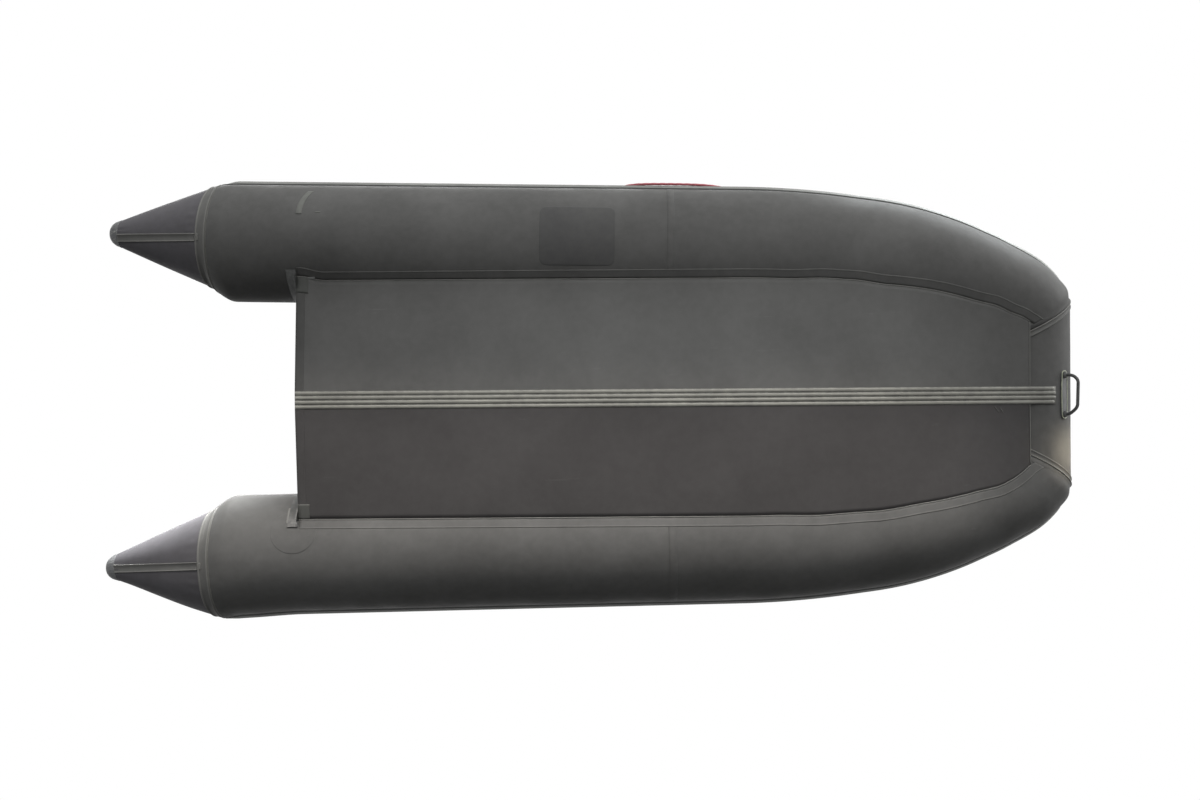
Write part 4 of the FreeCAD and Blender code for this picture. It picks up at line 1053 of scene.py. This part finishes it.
def make_bottom():
    """Sheet of coated fabric between the tubes, with its fold at the keel."""
    lines = [bottom_line(x) for x in spaced(transom_x, bottom_front, 230)]
    # The port half's columns take the darker fabric as painted shade.
    skin = Shape().skin([slab(line, 0.0, SHEET_THICKNESS) for line in lines], tone=PORT_SHADE_COLUMNS)
    for before, line in zip(lines, lines[1:]):
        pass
    sheet = skin.build("bottom_sheet", "bottom_fabric", "bottom_fabric", "port_panel",
                       stands_for=("bottom_skin",))


def make_bottom_edges():
    """Hem with corner patches at the transom, the front seam, and two creases near the bow."""
    hem = Shape()
    # The hem's port half takes the same painted shade.
    hem.skin([slab(bottom_line(transom_x + step), drop, 0.0004) for step, drop in HEM], tone=PORT_SHADE_COLUMNS)
    for first, last in ((0.87, 0.998), (-0.998, -0.87)):
        hem.skin([slab(bottom_line(transom_x + step, first, last, 9), drop, 0.0002)
                  for step, drop in HEM_CORNERS], tone=2)
    hem.build("bottom_hem", "tape_fabric", "hem_fabric", "port_panel", "patch_fabric")

    seam = Shape()
    # The front seam's bead is all pale fabric, a painted highlight.
    seam.sweep([point - UP * 0.0002 for point in bottom_line(bottom_front, -0.995, 0.995, 41)], 0.0016)
    seam.build("bottom_front_seam", "tape_fabric", "pale_fabric")

    marks = Shape()
    for first, middle, last in CREASES:
        line = []
        for share in spaced(0.0, 1.0, 8):
            x, y = ((1 - share) ** 2 * first[part] + 2 * share * (1 - share) * middle[part]
                    + share ** 2 * last[part] for part in (0, 1))
            edge = seam_edge(edge_distance(x, PORT), PORT)
            part = (y - KEEL_HALF) / (edge.y - KEEL_HALF)
            line.append(Vector((x, y, keel_height(x) * (1 - part) + edge.z * part - 0.0001)))
        marks.sweep(line, 0.0018, fade=True)
    marks.build("bottom_creases", "bottom_fabric", "tape_fabric")


def make_keel_strip():
    """Ribbed strip: a base coloured darker as painted shade in the grooves, with four paler rounded ridges
    that end in rounded tips.
    """
    base = metres((-33, 0.5), (-33, -0.9), (-32.4, -1.5), (32.4, -1.5), (33, -0.9), (33, 0.5))
    ridge = metres((-5.8, -1), (-5.5, -2.6), (-4.3, -4), (-2, -4.8), (2, -4.8), (4.3, -4), (5.5, -2.6),
                   (5.8, -1))
    base_end = keel_path.length - KEEL_RUN_ON - 0.009

    def strip_point(distance, across, drop):
        centre, along = keel_path.at(distance)
        return centre + Vector((0, KEEL_DRIFT + across, 0)) - Vector((along.z, 0, -along.x)) * drop

    shape = Shape()
    # The base takes the darker rubber as painted shade in the grooves between the ridges.
    shape.skin([[strip_point(distance, across * KEEL_NARROWED, drop) for across, drop in base]
                for distance in spaced(0.0, base_end, 170)])
    for index in range(4):
        middle = (-0.033 + 0.0165 * (index + 0.5)) * KEEL_NARROWED
        end = base_end - (0.0 if index in (1, 2) else 0.007)
        sections = []
        for distance in spaced(0.0, end, 170)[:-1] + [end - back for back in (0.0045, 0.002, 0.0006, 0.0)]:
            narrow = sqrt(max(1 - (1 - min((end - distance) / 0.006, 1.0)) ** 2, 0.002))
            sections.append([strip_point(distance, middle + across * narrow, -0.001 + (drop + 0.001) * narrow)
                             for across, drop in ridge])
        sections.sort(key=lambda section: section[0].x)
        shape.skin(sections, tone=1)
    shape.build("keel_ribs", "keel_rubber", "keel_groove", "keel_rubber",
                stands_for=("keel_strip",), sharp=55)


def make_seam_tape(name, side):
    """Tape over the joint of bottom and tube, with a raised edge and the bottom's piped edge, both painted
    pale as highlights.
    """
    profile = metres((1, -0.5), (1, 1.3), (10, 1.2), (28, 1.1), (31.2, 1.3), (32.4, 1.8), (33.6, 1.9),
                     (34.8, 1.4), (35.4, 0.6), (35.4, -0.5))
    final = seam_angle(tube_path.length, side)
    angles = [final + across / TUBE_RADIUS for across, _ in profile]
    sections = []
    for line in tube_rows(distance_at(transom_x + 0.006), angles, 0.020):
        section = []
        for distance, (across, lift) in zip(line, profile):
            angle = seam_angle(distance, side) + across / TUBE_RADIUS
            section.append(tube_point(distance, angle, side, lift))
        sections.append(section)
    shape = Shape(side)
    # Tone 1 paints the tape's raised outer edge in the paler tape colour as a painted highlight.
    shape.skin(sections, tone=[0, 0, 0, 0, 1, 1, 1, 0, 0, 0])
    distances = spaced(edge_distance(transom_x, side), edge_distance(bottom_front, side), 200)
    piping = [seam_edge(distance, side, 0.0006, PIPING_LIFT) for distance in distances]
    # The piping is pale fabric, a painted highlight.
    shape.sweep(piping, 0.0019, tone=2)
    shape.build("edge_tape_" + name, "tape_fabric", "tube_fabric", "tape_fabric", "pale_fabric",
                stands_for=("seam_tape_" + name,))


def make_corner_tapes(name, side):
    """Tapes on both sides of a bow mitre: a plain one aft and a double beaded one forward."""
    aft = metres((20.5, -0.6), (20, 0.6), (19, 1), (1, 1), (0.2, -0.6))
    fore = metres((0.2, -0.6), (0.4, 1.8), (1.6, 3), (3.2, 3), (4.6, 1.8), (5.8, 1), (16, 1), (17.2, 2.2),
                  (18.4, 2.9), (20, 2.9), (21.2, 1.8), (22, -0.6))
    plain = []
    double = []
    for angle in ALL_ROUND:
        plain.append([on_tube(mitre_limit(angle, gap), angle, lift) for gap, lift in aft])
        double.append([bow_point(angle, bow_end(angle, lift, gap), lift) for gap, lift in fore])
    skin = Shape(side).skin(plain, ring=True)
    skin.build("mitre_tape_aft_" + name, "tape_fabric", "tube_fabric",
               stands_for=("corner_tape_aft_" + name,))
    # Both beads forward are pale as painted highlights; the second only on the port side, where the light
    # falls.
    second = 1 if side == PORT else 0
    skin = Shape(side).skin(double, ring=True, tone=[1, 1, 1, 1, 0, 0] + [second] * 5 + [0])
    skin.build("mitre_tape_fore_" + name, "tape_fabric", "tape_fabric", "pale_fabric",
               stands_for=("corner_tape_fore_" + name,))


def make_strake(name, side):
    """Ribbed rubbing strake with tapered ends and a dark lip below, a glue line that also stands for painted
    shade under the strake.
    """
    upper = metres((0, 15), (3.5, 14.2), (6, 11.8), (7.8, 10), (9.5, 11.8), (13, 9.2), (18.5, 6.8),
                   (20, 4.5))
    lip = metres((-27, -0.4), (-26.8, 1), (-20.2, 1.2))
    profile = lip + [(-rise, depth) for rise, depth in upper[:0:-1]] + upper + [(0.0200, 0.0)]
    first = STRAKE_RING_GAP - SHOULDER_LENGTH
    last = mitre_limit(pi / 2, STRAKE_MITRE_GAP)
    sections = []
    for distance in spaced(first, last, 200):
        end = min(distance - first, last - distance)
        full = 0.25 + 0.75 * smooth(0.0, 0.060, end)
        narrow = 0.62 + 0.38 * smooth(0.0, 0.012, end)
        section = []
        for rise, depth in profile:
            angle = pi / 2 + rise * narrow / TUBE_RADIUS
            lift = -0.0008 + (depth + 0.0008) * full
            lift += corner_fullness(mitre_gap(on_tube(distance, angle)), angle)
            lift += stern_fullness(-SHOULDER_LENGTH - distance, angle, side)
            section.append(on_tube(distance, angle, lift))
        sections.append(section)
    # Tone 1 paints the lip and the outer edge black, a glue line that also stands for painted shade under the
    # strake.
    skin = Shape(side).skin(sections, tone=[1, 1, 1] + [0] * 14 + [1, 0])
    skin.build("strake_" + name, "black_rubber", "strake_rubber", "black_rubber",
               stands_for=("rubbing_strake_" + name,), sharp=40)


# Patches, seams and fittings on the tubes


def tube_spot(x, degrees, side):
    """Place on a side tube: a point for metres along, metres across and a lift."""
    middle = distance_at(x)

    def spot(along, across, lift):
        return tube_point(middle + along, radians(degrees) + across / TUBE_RADIUS, side, lift)
    return spot


def add_patch(shape, patch, tone):
    """Patch on a side tube, from a row of the list of patches."""
    x, degrees, half_length, half_width, radius, lift = patch
    shape.patch(tube_spot(x, degrees, shape.side), half_length, half_width, radius, lift, tone)


def make_tube_details(name, side):
    """Panel seam and reinforcing patches on one side tube."""
    step = 0.0009 if side == PORT else 0.0004
    band = [(-0.0020, -0.0006), (-0.0016, step), (0.0090, step * 0.8), (0.0300, -0.0001), (0.0302, -0.0006)]
    middle = distance_at(PANEL_SEAM_X)
    sections = []
    for angle in ALL_ROUND:
        sections.append([tube_point(middle + along, angle, side, lift) for along, lift in band])
    shape = Shape(side).skin(sections, ring=True)
    for patch in ROUND_PATCHES:
        add_patch(shape, patch, 1)
    shape.build("tube_patches_" + name, "tube_fabric", "tube_fabric", "patch_fabric")


def make_photo_details():
    """Marks that the photograph shows on one tube only."""
    shape = Shape(STARBOARD)
    add_patch(shape, PLAIN_PATCH, 0)
    (aft, low), (fore, high) = CORNER_BAND
    sections = []
    for share in spaced(0.0, 1.0, 24):
        distance = distance_at(aft + (fore - aft) * share ** 2)
        angle = radians(low + (high - low) * share)
        sections.append([tube_point(distance + across, angle, STARBOARD, lift) for across, lift in
                         ((-0.0105, -0.0005), (-0.0095, 0.0012), (0.0095, 0.0012), (0.0105, -0.0005))])
    shape.skin(sections, tone=1)
    add_patch(shape, DASH, 1)
    shape.build("starboard_marks", "tape_fabric", "dark_patch", "pale_patch")

    shape = Shape(PORT)
    add_patch(shape, HOLDER_PATCH, 0)
    # The holder strip is pale fabric: a painted highlight on the transom holder's flange.
    add_patch(shape, HOLDER_HIGHLIGHT_STRIP, 1)
    shape.build("port_marks", "tape_fabric", "tube_fabric", "pale_fabric")


def line_lift(angle):
    """Lift of the grab line's centre off the tube at an angle above its side, where the strake may be."""
    on_fabric = ROPE_RADIUS + ROPE_CLEARANCE
    rise = sin(angle) * TUBE_RADIUS
    if rise > STRAKE_EDGE + ROPE_RADIUS:
        return on_fabric
    return max(ROPE_RADIUS + STRAKE_TOP * sqrt(max(1 - (rise / STRAKE_HALF) ** 2, 0.0)), on_fabric)


def make_grab_line(name, side):
    """Rope through the three eyes, slack between them, with a tail aft and a knot at each end."""
    eyes = []
    for part in ("aft", "middle", "fore"):
        low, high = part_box("line_eye_%s_%s" % (part, name))
        eyes.append(distance_at((low.x + high.x) / 2))
    route = []
    for first, last, lowest in zip([eyes[0] - LINE_TAIL] + eyes, eyes, LINE_LOW[side]):
        for index in range(60):
            share = index / 60
            from_eye = (last - first) * (1 - share)
            if last == eyes[0]:
                swing = (1 - share) ** 2
            else:
                swing = 1 - (2 * share ** LINE_SKEW - 1) ** 2
                from_eye = min(from_eye, (last - first) * share)
            angle = radians(EYE_ANGLE + (lowest - EYE_ANGLE) * swing)
            near_eye = 1 - smooth(0.0, EYE_BLEND, from_eye)
            lift = line_lift(angle) * (1 - near_eye) + EYE_LIFT * near_eye
            route.append(on_tube(first + (last - first) * share, pi / 2 + angle, lift))
    for index in range(6):
        route.append(on_tube(eyes[-1] + 0.006 * index, pi / 2 + radians(EYE_ANGLE), EYE_LIFT))
    shape = Shape(side)
    shape.rope(route, ROPE_RADIUS)
    for point, beside in ((route[0], route[1]), (route[-1], route[-2])):
        shape.knot(point, (point - beside).normalized(), ROPE_RADIUS)
    shape.build("grab_line_" + name, "black_rubber", "line_rope")


def make_fittings(name, side):
    """Valve cap, and the screws of the rowlock base, on one side."""
    shape = Shape(side)
    spot = tube_spot(VALVE_X, VALVE_ANGLE, side)
    out = spot(0, 0, 0.02) - spot(0, 0, 0.0)
    cap = metres((-2, 18.5), (0, 19), (5.5, 18.6), (6.8, 17.2), (7.2, 14), (6, 12), (6, 3), (6.4, 0.5))
    shape.lathe(spot(0, 0, 0.011), out, cap, 48, knurl=(16, 0.0008))
    low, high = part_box("rowlock_base_" + name)
    middle = (low + high) / 2
    for quarter in rounds(4):
        angle = pi / 4 + quarter
        x = middle.x + 0.040 * cos(angle)
        y = abs(middle.y) + 0.040 * sin(angle)
        shape.screw(Vector((x, y, high.z - 0.0186)), UP, 0.0048)
    shape.build("fitting_details_" + name, "hard_plastic", sharp=40)


def make_deck_screws():
    """Screws and rivets of the transom pads and of the floor's profiles."""
    steel = Shape()
    ahead = Vector((1, 0, 0))
    low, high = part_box("motor_pad")
    for y in (-0.135, 0.0, 0.135):
        for z in (low.z + 0.022, high.z - 0.022):
            steel.screw(Vector((low.x, y, z)), -ahead, 0.006)
    low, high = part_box("clamp_pad")
    for y in (-0.108, 0.108):
        for z in (low.z + 0.020, high.z - 0.020):
            steel.screw(Vector((high.x, y, z)), ahead, 0.006)
    for part in ("floor_joint_aft", "floor_joint_fore"):
        low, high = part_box(part)
        for x in (low.x + 0.007, high.x - 0.007):
            for y in spaced(low.y + 0.03, high.y - 0.03, 8):
                steel.screw(Vector((x, y, high.z)), UP, 0.0036, recess=False)
    for side_name, side in SIDES:
        low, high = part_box("floor_stringer_" + side_name)
        outer = max(abs(low.y), abs(high.y))
        for x in spaced(low.x + 0.04, high.x - 0.04, 12):
            y = outer - 0.0085 - (x - low.x) * tan(radians(RUNS[0][1]))
            steel.screw(Vector((x, y * side, high.z)), UP, 0.0034, recess=False)
    steel.build("deck_screws", "aluminium_profile", "stainless", sharp=40)


def make_seat_screws(part):
    """Four screws near the corners of a seat, which slide with it."""
    low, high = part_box(part)
    shape = Shape()
    for x in (low.x + 0.05, high.x - 0.05):
        for y in (low.y + 0.030, high.y - 0.030):
            shape.screw(Vector((x, y, high.z)), UP, 0.0065)
    shape.build(part + "_screws", "aluminium_profile", "stainless", body=part, sharp=40)


def handle_spot(along, across, lift):
    """Point on the bow tube at metres from the middle of the handle's plate."""
    return bow_point(PLATE_ANGLE + across / TUBE_RADIUS, along + HANDLE_DRIFT, lift)


def make_handle_plate():
    """Moulded plate with a raised pale rim and two bosses for the grip."""
    shape = Shape()
    shape.patch(handle_spot, 0.0865, PLATE_HALF, PLATE_HALF - 0.0005, 0.0045)
    radius = PLATE_HALF - 0.0020
    rim = []
    for angle in rounds(64):
        along = (0.0850 - radius) * max(-1, min(1, 1.6 * cos(angle))) + radius * cos(angle)
        across = 0.0005 * max(-1, min(1, 1.6 * sin(angle))) + radius * sin(angle)
        rim.append(handle_spot(along, across, 0.0042))
    shape.sweep(rim, 0.0021, ring=True, tone=1)
    for y in (-GRIP_HALF, GRIP_HALF):
        out = handle_spot(y, 0, 0.01) - handle_spot(y, 0, 0.0)
        boss = metres((0, 12.5), (3.5, 11.8), (8, 9.2), (10.5, 6.6))
        shape.lathe(handle_spot(y, 0, 0.0030), out, boss)
    shape.build("handle_base", "black_rubber", "black_rubber", "pale_rubber",
                stands_for=("bow_handle_plate",))


def make_handle_grip():
    """D-shaped grip with a flattened round section."""
    corners = [(-GRIP_HALF, 0.0), (-GRIP_HALF, 0.022), (-0.066, 0.036), (-0.052, GRIP_REACH),
               (0.044, GRIP_REACH - 0.003), (0.060, 0.032), (GRIP_HALF, 0.018), (GRIP_HALF, 0.0)]
    path = RoundedPath([handle_spot(y, 0, 0.004 + reach) for y, reach in corners], 0.48)
    line = [path.at(distance)[0] for distance in spaced(0.0, path.length, 80)]
    out = (handle_spot(0, 0, 0.01) - handle_spot(0, 0, 0.0)).normalized()
    across = Vector((out.z, 0, -out.x))
    sections = []
    for index, point in enumerate(line):
        along = (line[min(index + 1, 80)] - line[max(index - 1, 0)]).normalized()
        side = along.cross(across).normalized()
        section = []
        for angle in rounds(20):
            wide = across * cos(angle) * GRIP_WIDE
            thick = side * sin(angle) * GRIP_THICK
            section.append(point + wide + thick * (1 - 0.12 * cos(2 * angle)))
        sections.append(section)
    Shape().skin(sections).build("handle_grip", "black_rubber", stands_for=("bow_handle_grip",))


for side_name, side in SIDES:
    strip_moved = STRIP_INBOARD if side == STARBOARD else 0.0
    make_side_tube(side_name, side)
    make_cone(side_name, side)
    make_cone_ring(side_name, side, strip_moved)
    make_cone_strip(side_name, side, strip_moved)
    make_cone_cap(side_name, side)
make_bow_tube()
make_bottom()
make_bottom_edges()
make_keel_strip()
for side_name, side in SIDES:
    make_seam_tape(side_name, side)
    make_corner_tapes(side_name, side)
    make_strake(side_name, side)
    make_tube_details(side_name, side)
    make_fittings(side_name, side)
make_photo_details()
for side_name, side in SIDES:
    make_grab_line(side_name, side)
make_handle_plate()
make_handle_grip()
make_deck_screws()
make_seat_screws("seat_fore")
make_seat_screws("seat_aft")


# Camera under the boat, looking up as the photograph does. Its focus and the width are in pixels
CAMERA_PLACE = Vector((0.0684, 0.0, -4.5097))
CAMERA_FOCUS = 1311.6
IMAGE_WIDTH = 1200
CAMERA_TURNS = (0.0030, 0.0104, -0.0069)
camera_data = bpy.data.cameras.new("camera")
camera_data.sensor_width = 36.0
camera_data.lens = CAMERA_FOCUS / IMAGE_WIDTH * camera_data.sensor_width
camera_data.clip_end = 100.0
camera = bpy.data.objects.new("camera", camera_data)
turn = (Matrix.Rotation(CAMERA_TURNS[2], 3, "Z") @ Matrix.Rotation(CAMERA_TURNS[1], 3, "Y")
        @ Matrix.Rotation(CAMERA_TURNS[0], 3, "X"))
right, image_down, forward = turn.row
axes = Matrix((right, -image_down, -forward)).transposed()
camera.matrix_world = Matrix.Translation(CAMERA_PLACE) @ axes.to_4x4()
bpy.context.scene.collection.objects.link(camera)
bpy.context.scene.camera = camera


# Floor, world and lamps


def make_floor():
    """Pale floor under the boat. Seen from below it lets the view and the light through."""
    half = 14.0
    mesh = bpy.data.meshes.new("floor")
    corners = [(-half, -half, 0), (half, -half, 0), (half, half, 0), (-half, half, 0)]
    mesh.from_pydata(corners, [], [(0, 1, 2, 3)])
    floor = bpy.data.objects.new("floor", mesh)
    bpy.context.scene.collection.objects.link(floor)
    surface = Surface("floor")
    colour = surface.blend(surface.noise(0.6), (0.86, 0.86, 0.86, 1), (0.90, 0.90, 0.90, 1))
    surface.finish(colour, surface.varied(surface.noise(3.0), 0.80, 0.05, 0.05), 0.2)
    above = surface.combine("SUBTRACT", 1.0, surface.node("NewGeometry")["Backfacing"])
    shown = surface.combine("MULTIPLY", surface.node("LightPath")["Is Camera Ray"], above)
    clear = surface.node("BsdfTransparent")[0]
    mixed = surface.node("MixShader", {0: shown, 1: clear, 2: surface.shader.outputs[0]})
    surface.fill(surface.tree.nodes["Material Output"], {"Surface": mixed[0]})
    mesh.materials.append(surface.material)


def make_world():
    """White background, and soft light that is stronger from the starboard side."""
    world = bpy.data.worlds.new("studio")
    bpy.context.scene.world = world
    world.use_nodes = True
    world.node_tree.nodes.clear()
    sky = NodeTree(world.node_tree)
    to_starboard = Vector((0.0, -1.0, 0.0))
    place = sky.node("TexCoord")["Generated"]
    aim = sky.node("VectorMath", {0: place, 1: to_starboard}, operation="DOT_PRODUCT")["Value"]
    white = (1, 1, 1, 1)
    soft = sky.node("Background", {"Color": white, "Strength": sky.spread(aim, -0.03, 1.0, 0.10, 2.45)})
    plain = sky.node("Background", {"Color": white})
    rays = sky.node("LightPath")
    other = sky.combine("MAXIMUM", rays["Is Glossy Ray"], rays["Is Transmission Ray"])
    seen = sky.combine("MAXIMUM", rays["Is Camera Ray"], other)
    mixed = sky.node("MixShader", {0: seen, 1: soft[0], 2: plain[0]})
    sky.node("OutputWorld", {"Surface": mixed[0]})


def add_lamp(name, kind, strength, colour):
    """A lamp of a kind, which points along its own -Z."""
    data = bpy.data.lights.new(name, kind)
    data.energy = strength
    data.color = colour
    lamp = bpy.data.objects.new(name, data)
    lamp.rotation_mode = "QUATERNION"
    bpy.context.scene.collection.objects.link(lamp)
    return lamp, data


def make_distant_lamp(name, towards, strength, softness, colour=(1, 1, 1)):
    """A soft distant lamp that shines along a direction."""
    lamp, data = add_lamp(name, "SUN", strength, colour)
    data.angle = radians(softness)
    lamp.rotation_quaternion = Vector(towards).to_track_quat("-Z", "Y")


def make_panel_lamp(name, place, target, size, power, spread=180, colour=(1, 1, 1)):
    """A soft lamp near the boat with its length fore and aft, which the camera doesn't see."""
    lamp, data = add_lamp(name, "AREA", power, colour)
    data.shape = "RECTANGLE"
    data.size, data.size_y = size
    data.spread = radians(spread)
    back = (Vector(place) - Vector(target)).normalized()
    along = (Vector((1, 0, 0)) - back * back.x).normalized()
    lamp.location = place
    lamp.rotation_quaternion = Matrix((along, back.cross(along), back)).transposed().to_quaternion()
    lamp.visible_camera = False


make_floor()
make_world()
make_distant_lamp("below", (0.0, 0.5, 0.87), 0.50, 30)
make_distant_lamp("fore", (-0.62, 0.74, 0.28), 0.56, 30)
make_distant_lamp("bow", (-0.9, 0.3, -0.3), 1.8, 30)
make_distant_lamp("top", (0.15, 0.25, -1.0), 1.6, 40)
make_panel_lamp("starboard_half", (0.24, -1.0, -1.5), (0.24, -0.2, 0.0), (1.8, 0.3), 1.2, 32)
make_panel_lamp("port_tube", (0.0, -0.50, -0.50), (0.0, 0.55, 0.08), (2.9, 0.2), 5.1, 46, (1.0, 0.93, 0.87))
make_panel_lamp("starboard_corner", (1.48, -1.05, 0.52), (1.12, -0.50, 0.24), (1.0, 0.3), 8.4, 180,
                (0.93, 0.98, 1.0))
make_panel_lamp("port_corner", (2.12, 0.23, 0.18), (1.62, 0.21, 0.26), (0.14, 0.14), 0.17, 22,
                (1.0, 0.86, 0.64))
make_panel_lamp("stern", (-1.53, -0.24, 0.46), (-1.53, 0.45, 0.22), (0.55, 0.22), 4.5, 40)

bpy.context.scene.view_settings.view_transform = "Standard"
